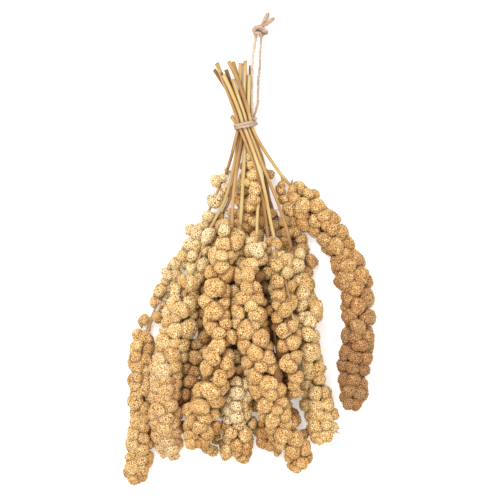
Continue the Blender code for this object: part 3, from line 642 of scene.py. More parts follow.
def rod(shape, line, radii, segments, plies=0, groove=0.0, lay=0.0, start=0.0):
    """Closed tube along a line; plies, groove and lay give it the section of twisted twine.

    Returns its rings. UV map "lengthwise" holds turns round it, from underneath, and metres
    along it from start.
    """
    lengthwise = shape.loops.layers.uv.get("lengthwise") or shape.loops.layers.uv.new("lengthwise")
    ahead, side, up = frames(line)
    run = distances(line)
    ring = bmesh.ops.create_circle(shape, radius=1.0, segments=segments)["verts"]
    rings = [ring]
    faces = []
    for _ in line[1:]:
        edges = [shape.edges.get((a, b)) for a, b in zip(ring, ring[1:] + ring[:1])]
        pulled = bmesh.ops.extrude_edge_only(shape, edges=edges)["geom"]
        new = {item for item in pulled if isinstance(item, bmesh.types.BMVert)}
        faces += [item for item in pulled if isinstance(item, bmesh.types.BMFace)]
        ring = [
            next(e.other_vert(v) for e in v.link_edges if e.other_vert(v) in new) for v in ring
        ]
        rings.append(ring)
    place = {}
    for i, ring in enumerate(rings):
        for k, corner in enumerate(ring):
            turn = 2 * math.pi * k / segments
            radius = radii[i] * (1 - groove + groove * abs(math.cos(plies * turn / 2)))
            turn += lay * run[i] - math.pi / 2
            out = math.cos(turn) * side[i] + math.sin(turn) * up[i]
            corner.co = line[i] + radius * out
            place[corner] = (k, i)
    for face in faces:
        wraps = max(place[c][0] for c in face.verts) == segments - 1
        for loop in face.loops:
            k, i = place[loop.vert]
            if wraps and k == 0:
                k = segments
            loop[lengthwise].uv = (k / segments, start + run[i] * MM)
    shape.faces.new(rings[0])
    shape.faces.new(rings[-1])
    return rings


def colour_layers(shape):
    """The two layers that say how ripe and how worn each corner is."""
    layers = shape.verts.layers.float
    return [layers.get(name) or layers.new(name) for name in ("ripe", "worn")]


def tinted(shape, corners, ripe, worn):
    """Say how ripe and worn these corners are."""
    ripe_layer, worn_layer = colour_layers(shape)
    for corner in corners:
        corner[ripe_layer] = ripe
        corner[worn_layer] = worn


def piece(name, shape, finishes, slot, *nodes):
    """Turn a shape in millimetres into a piece of the object that stands for CAD nodes.

    Its faces are put in the order of their corners, so that they come out the same each time.
    """
    shape.verts.index_update()
    ordered = sorted(shape.faces, key=lambda face: sorted(v.index for v in face.verts))
    for number, face in enumerate(ordered):
        face.index = number
    shape.faces.sort()
    bmesh.ops.recalc_face_normals(shape, faces=shape.faces)
    bmesh.ops.scale(shape, vec=(MM, MM, MM), verts=shape.verts)
    mesh = bpy.data.meshes.new(name)
    shape.to_mesh(mesh)
    shape.free()
    made = bpy.data.objects.new(name, mesh)
    bpy.context.scene.collection.objects.link(made)
    for finish in finishes:
        mesh.materials.append(finish)
    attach(made, "root")
    if nodes:
        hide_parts(*nodes)
    return made


# Finishes


class Wire:
    """A socket that takes part in Python expressions and adds the Math nodes they need."""

    def __init__(self, finish, socket):
        self.finish = finish
        self.socket = socket

    def _math(self, operation, first, second):
        return self.finish.node("Math", {"operation": operation}, {0: first, 1: second})

    def __add__(self, other):
        return self._math("ADD", self, other)

    def __sub__(self, other):
        return self._math("SUBTRACT", self, other)

    def __rsub__(self, other):
        return self._math("SUBTRACT", other, self)

    def __mul__(self, other):
        return self._math("MULTIPLY", self, other)

    __radd__ = __add__
    __rmul__ = __mul__


class Finish:
    """A Principled material whose nodes are added with node()."""

    def __init__(self, name):
        self.material = bpy.data.materials.new(name)
        self.material.use_nodes = True
        self.nodes = self.material.node_tree.nodes
        self.links = self.material.node_tree.links
        self.shader = self.nodes["Principled BSDF"]

    def set(self, node, sockets):
        """Give sockets their values or links."""
        for key, value in sockets.items():
            if isinstance(value, Wire):
                self.links.new(value.socket, node.inputs[key])
            else:
                node.inputs[key].default_value = value

    def node(self, kind, settings, sockets, output=0):
        """Add a node of a kind, with its settings first and then its sockets."""
        added = self.nodes.new("ShaderNode" + kind)
        for name, value in settings.items():
            if name == "stops":
                while len(added.color_ramp.elements) < len(value):
                    added.color_ramp.elements.new(0.5)
                for element, (place, colour) in zip(added.color_ramp.elements, value):
                    element.position = place
                    element.color = (*colour, 1.0)
            else:
                setattr(added, name, value)
        self.set(added, sockets)
        return Wire(self, added.outputs[output])

    def attribute(self, name):
        """A number stored on the piece's corners."""
        return self.node("Attribute", {"attribute_name": name}, {}, "Fac")

    def mix(self, factor, first, second):
        """Colour between two colours."""
        return self.node(
            "Mix", {"data_type": "RGBA"}, {0: factor, 6: first, 7: second}, 2
        )

    def grain(self, scale, detail=2.0, where=None):
        """Noise between 0 and 1 with a number of lumps to the metre."""
        where = where or self.node("TexCoord", {}, {}, "Object")
        return self.node(
            "TexNoise", {}, {"Vector": where, "Scale": scale, "Detail": detail}, "Fac"
        )

    def bump(self, height, distance, strength=1.0):
        """Feed a height in metres to the shader's normal."""
        normal = self.node(
            "Bump", {}, {"Height": height, "Distance": distance, "Strength": strength}
        )
        self.set(self.shader, {"Normal": normal})


def rgb(red, green, blue):
    """Screen colour from 0 to 255 as the renderer's linear colour."""
    screen = np.array([red, green, blue]) / 255
    return tuple(np.where(screen <= 0.04045, screen / 12.92, ((screen + 0.055) / 1.055) ** 2.4))


def rgba(*screen):
    """A screen colour with full cover."""
    return (*rgb(*screen), 1.0)


def seed_finish():
    """Dry millet: glossy tan seeds in papery husks, with painted shade in the gaps between them.
    """
    finish = Finish("dried_millet_seeds")
    seed = finish.attribute("seed")
    swell = finish.attribute("swell")
    ripe = finish.attribute("ripe")
    worn = finish.attribute("worn")
    crevice = finish.attribute("crevice")
    blush = finish.attribute("blush")
    patch = finish.grain(140.0)
    fine = finish.grain(1500.0, 3.0)
    tone = ripe + 0.12 - 0.6 * seed * seed * seed + (patch - 0.5) * 0.3 + (fine - 0.5) * 0.25
    husk = finish.node("ValToRGB", {"stops": [
        (0.0, rgb(248, 235, 194)), (0.3, rgb(240, 213, 149)), (0.55, rgb(227, 183, 116)),
        (0.8, rgb(208, 151, 88)), (1.0, rgb(178, 118, 66)),
    ]}, {"Fac": tone})
    # painted shade: the gaps between seeds are darker than the seed tops
    gap = finish.node("ValToRGB", {"stops": [
        (0.0, rgb(192, 150, 90)), (0.5, rgb(172, 120, 66)), (1.0, rgb(122, 78, 40)),
    ]}, {"Fac": tone})
    top = finish.node("MapRange", {"interpolation_type": "SMOOTHSTEP"}, {
        "Value": swell, "From Min": 0.0, "From Max": 0.42,
    })
    # painted shade: the deepest pits between seeds go dark brown
    pit = finish.node("MapRange", {}, {
        "Value": swell, "From Min": -0.05, "From Max": -0.6,
    })
    clean = finish.mix(top, gap, finish.mix(blush * patch, husk, rgba(232, 160, 118)))
    weathered = finish.mix(top, rgba(92, 66, 40), rgba(184, 152, 106))
    open_side = finish.mix(pit, finish.mix(worn, clean, weathered), rgba(122, 76, 40))
    # dust and painted shade where clusters press together, and painted shade in the deepest furrow
    crease_shade_colour = finish.mix(top, rgba(88, 52, 26), rgba(128, 84, 46))
    finish.set(finish.shader, {
        "Base Color": finish.mix(0.65 * crevice, open_side, crease_shade_colour),
        "Roughness": 0.82 - 0.30 * top + (fine - 0.5) * 0.1,
        "Specular IOR Level": 0.3,
    })
    finish.bump(fine, 0.00012, 0.6)
    return finish.material


def straw_finish():
    """Dry straw: streaks along it from yellow to brown, with blushes of pink and dull places."""
    finish = Finish("dried_straw")
    ripe = finish.attribute("ripe")
    worn = finish.attribute("worn")
    run = finish.node("UVMap", {"uv_map": "lengthwise"}, {})
    stripes, blush, streaks = (
        finish.grain(1.0, detail, finish.node(
            "Mapping", {}, {"Vector": run, "Location": shift, "Scale": scale}
        ))
        for detail, shift, scale in (
            (1.0, (0.0, 0.0, 0.0), (2.6, 14.0, 1.0)),
            (2.0, (0.0, 0.0, 7.0), (2.2, 26.0, 1.0)),
            (4.0, (0.0, 0.0, 3.0), (15.0, 70.0, 1.0)),
        )
    )
    patch = finish.grain(90.0)
    tone = ripe + (stripes - 0.5) * 1.4 + (streaks - 0.5) * 0.6 + (patch - 0.5) * 0.3
    # painted shade where the stalks press together
    crevice = finish.attribute("crevice")
    straw = finish.node("ValToRGB", {"stops": [
        (0.0, rgb(202, 180, 120)), (0.3, rgb(186, 148, 84)), (0.55, rgb(168, 124, 66)),
        (0.8, rgb(140, 94, 48)), (1.0, rgb(92, 60, 34)),
    ]}, {"Fac": tone})
    pink = finish.node("MapRange", {}, {
        "Value": blush, "From Min": 0.54, "From Max": 0.66, "To Max": 0.6,
    })
    clean = finish.mix(pink, straw, rgba(190, 140, 98))
    finish.set(finish.shader, {
        "Base Color": finish.mix(
            crevice, finish.mix(worn, clean, rgba(142, 112, 76)), rgba(84, 46, 22)
        ),
        "Roughness": 0.42 + 0.25 * streaks,
    })
    finish.bump(streaks, 0.0002, 0.5)
    return finish.material


def twine_finish(name, light, dark):
    """Soft twine: fibres that follow the twist, in streaks and patches from pale to brown."""
    finish = Finish(name)
    run = finish.node("UVMap", {"uv_map": "lengthwise"}, {})
    fibres = finish.grain(1.0, 4.0, finish.node(
        "Mapping", {}, {"Vector": run, "Scale": (26.0, 220.0, 1.0)}
    ))
    patch = finish.grain(160.0)
    finish.set(finish.shader, {
        "Base Color": finish.mix(
            (fibres - 0.5) * 1.6 + (patch - 0.5) * 0.9 + 0.45, rgba(*dark), rgba(*light)
        ),
        "Roughness": 0.75 + 0.2 * fibres,
    })
    finish.bump(fibres, 0.0003, 0.8)
    return finish.material


# Seed heads


def ball_directions(count):
    """Directions spread evenly over a ball, in a spiral from its lower to its upper end."""
    rank = np.arange(count)
    height = (2 * rank + 1) / count - 1
    turn = rank * GOLDEN_ANGLE
    flat = np.sqrt(1 - height**2)
    return np.column_stack([flat * np.cos(turn), flat * np.sin(turn), height])


def knobbly(random):
    """Round knobs that together make a cluster's outline: (middle, radius)."""
    knobs = [(np.zeros(3), CORE_RADIUS)]
    spread = ball_directions(KNOB_COUNT)
    for out in spread + random.normal(scale=KNOB_STRAY, size=spread.shape):
        out = out / np.linalg.norm(out)
        knobs.append((out * KNOB_REACH, KNOB_RADIUS * random.uniform(*KNOB_SIZES)))
    return knobs


def outline(knobs, out):
    """How far a cluster reaches in a direction."""
    reach = []
    for middle, radius in knobs:
        ahead = middle @ out
        reach.append(ahead + math.sqrt(max(radius**2 - middle @ middle + ahead**2, 0.0)))
    return max(reach)


def seed_cluster(radius, back, number):
    """A cluster of seeds with its outer end up, one seed on each corner of a ball.

    Below the height back the ball stays plain, because that side is buried in the head.
    """
    random = np.random.default_rng(number)
    pitch = SEED_PITCH / radius
    directions = ball_directions(round(4 * math.pi / (0.866 * pitch**2)))
    directions += random.normal(scale=SEED_SCATTER * pitch, size=directions.shape)
    shape = bmesh.new()
    for out in directions:
        bmesh.ops.create_vert(shape, co=Vector(out).normalized())
    bmesh.ops.convex_hull(shape, input=shape.verts)
    seed = shape.verts.layers.float.new("seed")
    swell = shape.verts.layers.float.new("swell")
    for corner in shape.verts:
        corner[seed] = random.random()
        corner[swell] = 1.0
    tops = list(shape.verts)
    front = [face for face in shape.faces if face.calc_center_median().z > back]
    inside = set(front)
    seams = [e for e in shape.edges if all(face in inside for face in e.link_faces)]
    gaps = bmesh.ops.poke(shape, faces=front)["verts"]
    rims = bmesh.ops.rotate_edges(shape, edges=seams)["edges"]
    disc = shape.loops.layers.uv.new("OFBake")
    for face in shape.faces:
        face.smooth = True
        middle = face.calc_center_median()
        for loop in face.loops:
            out = loop.vert.co.normalized()
            reach = math.acos(max(-1.0, min(1.0, out.z))) / math.pi
            flat = Vector((out.x, out.y)) if reach < 0.98 else Vector((middle.x, middle.y))
            loop[disc].uv = Vector((0.5, 0.5)) + flat.normalized() * reach * 0.49
    for rim in rims:
        rim.smooth = False
    knobs = knobbly(random)
    offset = Vector(random.uniform(-50, 50, size=3))
    for corner in shape.verts:
        out = corner.co.normalized()
        height = outline(knobs, np.array(out))
        height += noise.noise(out * LUMP_SIZE + offset) * LUMP_HEIGHT
        corner.co = out * height
    for top in tops:
        top.co += top.co.normalized() * random.normal(scale=SEED_UNEVEN * pitch)
        if top.co.z < back:
            top[swell] = 0.2
    for gap in gaps:
        pit = random.random() ** 4
        gap.co -= gap.co.normalized() * pitch * (SEED_DEPTH + PIT_DEPTH * pit)
        gap[swell] = -pit
    mesh = bpy.data.meshes.new(f"cluster_{number}")
    shape.to_mesh(mesh)
    shape.free()
    return mesh


def head_radii(spray, run):
    """A head's radius at distances along it."""
    given = np.array(spray.head)
    return np.interp(run, distances(given[:, :2]), given[:, 2])


def seen_clusters(index, spray, line, stem, random):
    """The clusters that show from above, each on the upper side of its head."""
    run = distances(line)
    radii = head_radii(spray, run)
    carrier = np.vstack([stem, line])
    found = []
    for x, y, size, shade, *lift in spray.seen:
        i = int(np.linalg.norm(line[:, :2] - (x, y), axis=1).argmin())
        aside = np.array([x, y]) - line[i, :2]
        reach = radii[i] + PROUD - CLUSTER_FLATNESS * size
        height = math.sqrt(max(reach**2 - aside @ aside, 0.0))
        outward = np.array([*aside, height])
        outward = outward / max(np.linalg.norm(outward), 0.1)
        size *= np.interp(outward[2], [0.0, 1.0], SEEN_SIZES)
        outward[2] += SEEN_TILT
        outward /= np.linalg.norm(outward)
        part = run[i] / run[-1]
        nearest = int(np.linalg.norm(carrier[:, :2] - (x, y), axis=1).argmin())
        found.append(Cluster(
            index, line[i] + (*aside, height + sum(lift)), size, outward,
            carrier[max(nearest - TWIG_BACK, 0)],
            share(spray.ripe, part) + shade * SHADE_STEP,
            share(spray.worn, part) * random.uniform(*CLUSTER_WORN),
            share(spray.blush, part) * random.uniform(*CLUSTER_BLUSH), fixed=True,
            dust_and_shade=spray.crack_shade, deep_shade=DEEP_SHADE if shade > 2 else 0.0,
        ))
    return found


def clusters_on(index, spray, line, stem, random):
    """Clusters up a head in a spiral, small and loose at its foot, to a round tip."""
    run = distances(line)
    ahead, side, up = frames(line)
    radii = head_radii(spray, run)
    length = run[-1]
    at = spray.size * 0.5
    angle = random.uniform(0, 2 * math.pi)
    found = seen_clusters(index, spray, line, stem, random)
    seen = np.array([(*c.place[:2], c.size) for c in found])
    while at < length - spray.size * 0.35:
        part = at / length
        angle += GOLDEN_ANGLE + random.normal(scale=ANGLE_SPREAD)
        i = int(np.searchsorted(run, at))
        size = spray.size * (1 + np.clip(random.normal(scale=SIZE_SPREAD), *SIZE_LIMITS))
        size *= share(HEAD_SIZES, part)
        reach = max(radii[i] + PROUD - CLUSTER_FLATNESS * size, 0.3 * size)
        cap_start = length - size - reach * 0.4
        lean = LEAN
        if at > cap_start:
            into = min((at - cap_start) / (reach * 0.4 + 0.65 * size), 1.0)
            reach *= math.sqrt(1 - into**2)
            lean += (math.pi / 2 - LEAN) * into
        radial = math.cos(angle) * side[i] + math.sin(angle) * up[i]
        outward = radial * math.cos(lean) + ahead[i] * math.sin(lean)
        place = line[i] + radial * reach
        far = np.linalg.norm(seen[:, :2] - place[:2], axis=1)
        hidden = radial[2] < UPPER_SIDE
        taken = (far < CROWDING * (seen[:, 2] + size)).any() and not hidden
        bare = spray.bare[0] < at < spray.bare[1] and radial[2] > FACES_UP
        if not (taken or bare):
            found.append(Cluster(
                index, place, size, outward, line[max(i - TWIG_BACK, 0)],
                share(spray.ripe, part) + random.normal(scale=CLUSTER_TONE_SPREAD),
                share(spray.worn, part) * random.uniform(*CLUSTER_WORN),
                share(spray.blush, part) * random.uniform(*CLUSTER_BLUSH), dust_and_shade=spray.crack_shade,
            ))
        at += share(spray.spacing, part) * random.uniform(*SPACING_SPREAD)
    return found


def from_furrow(cluster, furrows):
    """Distance in plan from a cluster to the nearest of some furrows."""
    line = np.vstack([smooth_line(points, 2.0) for points in furrows])
    return np.linalg.norm(line - cluster.place[:2], axis=1).min()


def blocks(cluster):
    """Whether a cluster would fill an opening or bridge a furrow between two heads."""
    openings = np.array(OPENINGS)
    far = np.linalg.norm(openings[:, :2] - cluster.place[:2], axis=1)
    if (far < openings[:, 2] + OPENING_REACH * cluster.size).any():
        return True
    near = from_furrow(cluster, [*FURROWS, DEEP_FURROW]) < FURROW_REACH * cluster.size
    return near and cluster.outward[2] > FACES_UP


def settle(clusters, bars):
    """Ease clusters apart where they crowd, off the stalks and up from the surface.

    Clusters that are seen from above keep their place in plan.
    """
    places = np.array([c.place for c in clusters])
    sizes = np.array([c.size for c in clusters])
    home = places.copy()
    free = np.array([(0.0, 0.0, SEEN_GIVE) if c.fixed else (1.0, 1.0, 1.0) for c in clusters])
    for _ in range(SETTLE_ROUNDS):
        before = places.copy()
        apart = places[:, None] - places[None]
        far = np.linalg.norm(apart, axis=2) + np.eye(len(places)) * 1e3
        short = np.maximum(CROWDING * (sizes[:, None] + sizes[None]) - far, 0.0)
        places += SETTLE_PUSH * (apart * (short / far)[..., None]).sum(axis=1)
        apart = places[:, None] - bars[None]
        far = np.linalg.norm(apart, axis=2)
        short = np.maximum(BAR_CLEARANCE * sizes[:, None] + STALK_RADIUS - far, 0.0)
        nearest = short.argmax(axis=1)
        rows = np.arange(len(places))
        places += apart[rows, nearest] * (short / far)[rows, nearest][:, None]
        places += SETTLE_HOME * (home - places)
        places = before + (places - before) * free
        places[:, 2] = np.maximum(places[:, 2], FLOOR_SHARE * sizes)
    for cluster, place in zip(clusters, places):
        cluster.place = place


def open_backs(clusters):
    """For each cluster, how far down its sides and back it shows between its neighbours."""
    places = np.array([c.place for c in clusters])
    sizes = np.array([c.size for c in clusters])
    sight = ball_directions(SIGHT_LINES)
    lowest = []
    for cluster in clusters:
        skin = cluster.place + SIGHT_FROM * cluster.size * sight
        near = np.flatnonzero(
            np.linalg.norm(places - cluster.place, axis=1) < sizes + cluster.size
        )
        near = near[np.linalg.norm(places[near] - cluster.place, axis=1) > 0.01]
        gaps = np.linalg.norm(skin[:, None] - places[near][None], axis=2)
        clear = (gaps > SIGHT_STOPS * sizes[near]).all(axis=1)
        heights = sight @ cluster.outward
        lowest.append(heights[clear].min() if clear.any() else 1.0)
    return lowest


def turn(cluster, random):
    """Turn a cluster outwards, and give it its proportions and how much dust and painted shade it
    lays on its neighbours' edges.
    """
    long = cluster.size * CLUSTER_FLATNESS * random.uniform(*CLUSTER_LENGTH)
    wide = cluster.size * random.uniform(*CLUSTER_WIDTH)
    narrow = cluster.size * random.uniform(*CLUSTER_BREADTH)
    cluster.dust_and_shade *= random.uniform(*CLUSTER_DUST_AND_SHADE)
    outwards = Vector(cluster.outward).to_track_quat("Z", "Y").to_matrix()
    spun = Matrix.Rotation(random.uniform(0, 2 * math.pi), 3, "Z")
    cluster.turned = outwards @ spun @ Matrix.Diagonal((wide, narrow, long))


def placed(template, number, cluster, near):
    """A copy of a cluster of seeds at its place on the head, turned outwards.

    Its seeds carry dust and painted shade where the clusters near it press against it, and painted
    deep shade where the cluster has it.
    """
    ball = template.copy()
    ball.transform(Matrix.Translation(Vector(cluster.place)) @ cluster.turned.to_4x4())
    corners = np.zeros(len(ball.vertices) * 3, np.float32)
    ball.vertices.foreach_get("co", corners)
    corners = corners.reshape(-1, 3)
    crevice = np.zeros(len(corners))
    # dust and painted shade on the seeds near each neighbour
    for other in near:
        across = (corners - other.place) @ np.array(other.turned.inverted()).T
        clear = np.linalg.norm(across, axis=1) - 1.0
        crevice = np.maximum(crevice, other.dust_and_shade * (1.0 - clear / CREVICE_WIDTH))
    values = {
        "ripe": np.full(len(corners), cluster.ripe),
        "worn": np.full(len(corners), cluster.worn),
        "blush": np.full(len(corners), cluster.blush),
        "crevice": np.maximum(np.clip(crevice, 0.0, 1.0), cluster.deep_shade),
    }
    for name, value in values.items():
        layer = ball.attributes.new(name, "FLOAT", "POINT")
        layer.data.foreach_set("value", value.astype(np.float32))
    owner = ball.attributes.new("owner", "INT", "FACE")
    owner.data.foreach_set("value", np.full(len(ball.polygons), number, np.int32))
    return ball


def add_twig(shape, cluster, random):
    """The short twig that a cluster grows on."""
    root = Vector(cluster.root)
    reach = Vector(cluster.place) - root
    turned = reach.to_track_quat("Z", "Y").to_matrix().to_4x4()
    made = bmesh.ops.create_cone(
        shape, cap_ends=True, segments=TWIG_SIDES, radius1=TWIG_RADII[0],
        radius2=TWIG_RADII[1], depth=reach.length,
        matrix=Matrix.Translation(root + reach / 2) @ turned,
    )["verts"]
    tinted(shape, made, 0.5 + random.normal(scale=0.15), 0.35)


def add_husk(shape, root, direction, length, random):
    """A thin dry husk, bent and pointed."""
    direction = Vector(direction).normalized()
    bend = Vector(random.normal(size=3)).cross(direction)
    steps = np.linspace(0, 1, 5)
    line = np.array([
        Vector(root) + direction * length * t + bend * length * 0.25 * t**2 for t in steps
    ])
    radii = HUSK_RADIUS * np.sin(np.pi * (0.15 + 0.8 * steps)) + 0.04
    rings = rod(shape, line, radii, 3)
    ripe = random.uniform(0.0, 0.4)
    worn = random.uniform(0.0, 0.5)
    for ring in rings:
        tinted(shape, ring, ripe, worn)


def top_of(clusters, plan, line):
    """Height of the upper side of a head at plan points, smoothed."""
    places = np.array([c.place for c in clusters])
    sizes = np.array([c.size for c in clusters])
    far = np.linalg.norm(plan[:, None] - places[None, :, :2], axis=2)
    rise = CLUSTER_FLATNESS * np.sqrt(np.maximum(sizes**2 - far**2, 0.0))
    nearest = np.linalg.norm(plan[:, None] - line[None, :, :2], axis=2).argmin(axis=1)
    tops = np.where(far < sizes, places[:, 2] + rise, 0.0).max(axis=1)
    tops = np.maximum(tops, line[nearest, 2])
    for _ in range(LEVEL_ROUNDS):
        tops = np.pad(tops, 1, "edge")
        tops = (tops[:-2] + 2 * tops[1:-1] + tops[2:]) / 4
    return tops


def stem_and_twigs(spray, line, clusters, random):
    """The stem inside a head, the twig to each cluster, and the loose husks and tufts."""
    shape = bmesh.new()
    colour_layers(shape)
    stem = along(line, STEM_RING)
    run = distances(stem)
    radii = np.interp(run, [0, run[-1]], [STALK_RADIUS * STEM_FOOT, STEM_TIP])
    for ring in rod(shape, stem[:-1], radii[:-1], STEM_SIDES):
        tinted(shape, ring, share(spray.straw, 1), 0.15)
    for stretch in spray.shown:
        plan = smooth_line(stretch, STALK_RING)
        count = len(plan)
        drop = np.interp(
            np.arange(count), [0, 2, count - 3, count - 1], [SHOWN_DROP, 0, 0, SHOWN_DROP]
        )
        route = np.column_stack([plan, top_of(clusters, plan, line) + SHOWN_LEVEL - drop])
        radii = np.full(count, SHOWN_RADIUS)
        for ring in rod(shape, route, radii, SHOWN_SIDES, start=random.uniform(0, 5)):
            tinted(shape, ring, share(spray.straw, 1), SHOWN_WEAR)
    for _ in range(LOOSE_HUSKS):
        start = line[random.integers(0, len(line) // 8)]
        add_husk(shape, start, random.normal(size=3), random.uniform(4, 8), random)
    for ends in spray.wisps:
        root, tip = np.column_stack([ends, top_of(clusters, np.array(ends), line)])
        for _ in range(WISP_HUSKS):
            lean = tip - root + random.normal(scale=WISP_SPREAD, size=3)
            length = np.linalg.norm(tip - root) * random.uniform(0.6, 1.1)
            add_husk(shape, root, lean, length, random)
    for cluster in clusters:
        add_twig(shape, cluster, random)
    for face in shape.faces:
        face.material_index = 1
        face.smooth = True
    mesh = bpy.data.meshes.new("stem")
    shape.to_mesh(mesh)
    shape.free()
    return mesh


def lay_out(mesh, owners, clusters):
    """Give each cluster its own cell of the UV map, and every other face its own small tile."""
    cells = math.ceil(math.sqrt(clusters + (owners == 0).sum() / TILES**2 + 1))
    uv = np.zeros(len(mesh.loops) * 2, np.float32)
    layer = mesh.uv_layers["OFBake"]
    layer.data.foreach_get("uv", uv)
    uv = uv.reshape(-1, 2)
    sides = np.zeros(len(mesh.polygons), np.int32)
    mesh.polygons.foreach_get("loop_total", sides)
    owner = np.repeat(owners, sides) - 1
    own = owner >= 0
    corner = np.column_stack([owner % cells, owner // cells])
    uv[own] = (uv[own] + corner[own]) / cells
    tile = clusters * TILES**2
    for polygon, whose in zip(mesh.polygons, owners):
        if whose:
            continue
        cell, spot = divmod(tile, TILES**2)
        middle = np.array([
            cell % cells + (spot % TILES + 0.5) / TILES,
            cell // cells + (spot // TILES + 0.5) / TILES,
        ])
        for k, loop in enumerate(polygon.loop_indices):
            turn = 2 * math.pi * (k + 0.5) / polygon.loop_total
            out = np.array([math.cos(turn), math.sin(turn)])
            uv[loop] = (middle + out * 0.45 / TILES) / cells
        tile += 1
    layer.data.foreach_set("uv", uv.ravel())


def pick(templates, cluster, random):
    """The template that suits a cluster's radius and how far its back shows."""
    radius = min(CLUSTER_CLASSES, key=lambda known: abs(known - cluster.size))
    shows = cluster.lowest - BACK_MARGIN
    back = next((b for b in SEEDED_DOWN_TO if b < shows), SEEDED_DOWN_TO[-1])
    number = int(random.integers(CLUSTER_SHAPES))
    if (radius, back, number) not in templates:
        templates[radius, back, number] = seed_cluster(radius, back, number)
    return templates[radius, back, number]


def neighbours(cluster, clusters):
    """The clusters that touch a cluster or nearly so."""
    return [
        c for c in clusters
        if 0.01 < np.linalg.norm(c.place - cluster.place)
        < NEIGHBOUR_REACH * (c.size + cluster.size)
    ]


def seed_head(spray, line, clusters, everyone, templates, finishes, random):
    """One head: its clusters of seeds, and the stem, twigs and husks they grow on."""
    shape = bmesh.new()
    parts = [
        placed(
            pick(templates, cluster, random), number, cluster, neighbours(cluster, everyone)
        )
        for number, cluster in enumerate(clusters, 1)
    ]
    parts.append(stem_and_twigs(spray, line, clusters, random))
    for part in parts:
        shape.from_mesh(part)
        bpy.data.meshes.remove(part)
    for corner in shape.verts:
        corner.co.z = max(corner.co.z, 0.0)
    made = piece("head_" + spray.name, shape, finishes, "seed", "seed_head_" + spray.name)
    mesh = made.data
    owners = np.zeros(len(mesh.polygons), np.int32)
    mesh.attributes["owner"].data.foreach_get("value", owners)
    lay_out(mesh, owners, len(clusters))
    mesh.attributes.remove(mesh.attributes["owner"])
    return made


# Stalks


def stalk(spray, line, others, finish, random):
    """A straw stalk, ridged and slightly uneven, with a hollow end cut at a slant.

    It carries painted shade where the other stalks press against it.
    """
    shape = bmesh.new()
    ripe_layer, worn_layer = colour_layers(shape)
    crevice_layer = shape.verts.layers.float.new("crevice")
    line = along(line, STALK_RING)
    run = distances(line)
    part = run / run[-1]
    thick = STALK_RADIUS * (1 + STALK_UNEVEN * np.sin(part * 9 + random.uniform(0, 6)))
    thick *= np.interp(part, [0.0, 0.35, 1.0], [1.06, 1.0, 0.86])
    thick *= 1 + STALK_UNEVEN * random.normal() + random.uniform(0, CUT_FLARE) * np.exp(-run / 3.0)
    rings = rod(
        shape, line, thick, STALK_SIDES, plies=6, groove=0.05, start=random.uniform(0, 5)
    )
    for place, ring in zip(part, rings):
        for corner in ring:
            corner[ripe_layer] = share(spray.straw, place)
            corner[worn_layer] = share(STALK_WORN, place)
            # painted shade where another stalk lies close
            clear = np.linalg.norm(others - corner.co, axis=1).min() - STALK_RADIUS
            corner[crevice_layer] = share(PRESSED_SHADE, clear)
    slant = random.normal(scale=CUT_SLANT, size=3)
    ahead = line[1] - line[0]
    ahead /= np.linalg.norm(ahead)
    for corner in rings[0]:
        corner.co += Vector(ahead) * float((np.array(corner.co) - line[0]) @ slant)
    for face in shape.faces:
        face.smooth = len(face.verts) == 4
    end = next(f for f in rings[0][0].link_faces if len(f.verts) == STALK_SIDES)
    bmesh.ops.recalc_face_normals(shape, faces=shape.faces)
    bmesh.ops.inset_individual(shape, faces=[end], thickness=CUT_WALL, depth=0.0)
    bmesh.ops.inset_individual(shape, faces=[end], thickness=0.15, depth=-CUT_DEPTH)
    tinted(shape, end.verts, 0.2, 0.9)
    return piece("stalk_" + spray.name, shape, [finish], "straw", "stem_" + spray.name)


# Twine


def add_twine(shape, route, radius, random, tail=1.0):
    """Twine of two plies along a route, kinked and fuzzy; tail spreads its last part."""
    line = smooth_line(route, TWINE_RING)
    run = distances(line)
    drift = random.uniform(0, 50)
    kinks = np.array([
        [noise.noise(Vector((at * 0.3, drift, level))) for level in (0.0, 20.0, 40.0)]
        for at in run
    ])
    line = line + KINK * kinks * np.sin(np.pi * run / run[-1])[:, None]
    spread = np.interp(run, [run[-1] - 9.0, run[-1] - 2.0], [1.0, tail])
    uneven = np.array([noise.noise(Vector((at * 0.5, drift, 5.0))) for at in run])
    radii = radius * spread * (1 + TWINE_UNEVEN * uneven)
    rod(
        shape, line, radii, TWINE_SIDES, TWINE_PLIES, PLY_GROOVE, 2 * math.pi / TWIST,
        random.uniform(0, 5),
    )
    ahead, side, up = frames(line)
    for _ in range(round(run[-1] * FUZZ)):
        i = int(random.integers(1, len(line) - 1))
        turn = random.uniform(0, 2 * math.pi)
        out = math.cos(turn) * side[i] + math.sin(turn) * up[i]
        lean = out + ahead[i] * random.normal(scale=0.8)
        root = line[i] + 0.9 * radii[i] * out
        add_fibre(shape, root, lean, random.uniform(*FIBRE_LENGTHS), random)
    if tail > 1.0:
        for _ in range(FRAY):
            out = random.normal(scale=0.5, size=3)
            root = line[-1] + radii[-1] * 0.5 * out - 0.3 * ahead[-1]
            lean = ahead[-1] + 0.5 * out
            add_fibre(shape, root, lean, random.uniform(*FRAY_LENGTHS), random)


def add_fibre(shape, root, direction, length, random):
    """One loose fibre of twine."""
    direction = Vector(direction).normalized()
    bend = Vector(random.normal(scale=0.35, size=3)).cross(direction)
    line = np.array([
        Vector(root) + direction * length * t + bend * length * t**2 for t in (0.0, 0.5, 1.0)
    ])
    rod(shape, line, FIBRE_RADII, 3)


def twine(name, routes, radius, finish, node, random, tail=1.0):
    """Lengths of twine as one piece."""
    shape = bmesh.new()
    for route in routes:
        add_twine(shape, route, radius, random, tail)
    for face in shape.faces:
        face.smooth = True
    return piece(name, shape, [finish], "twine", node)


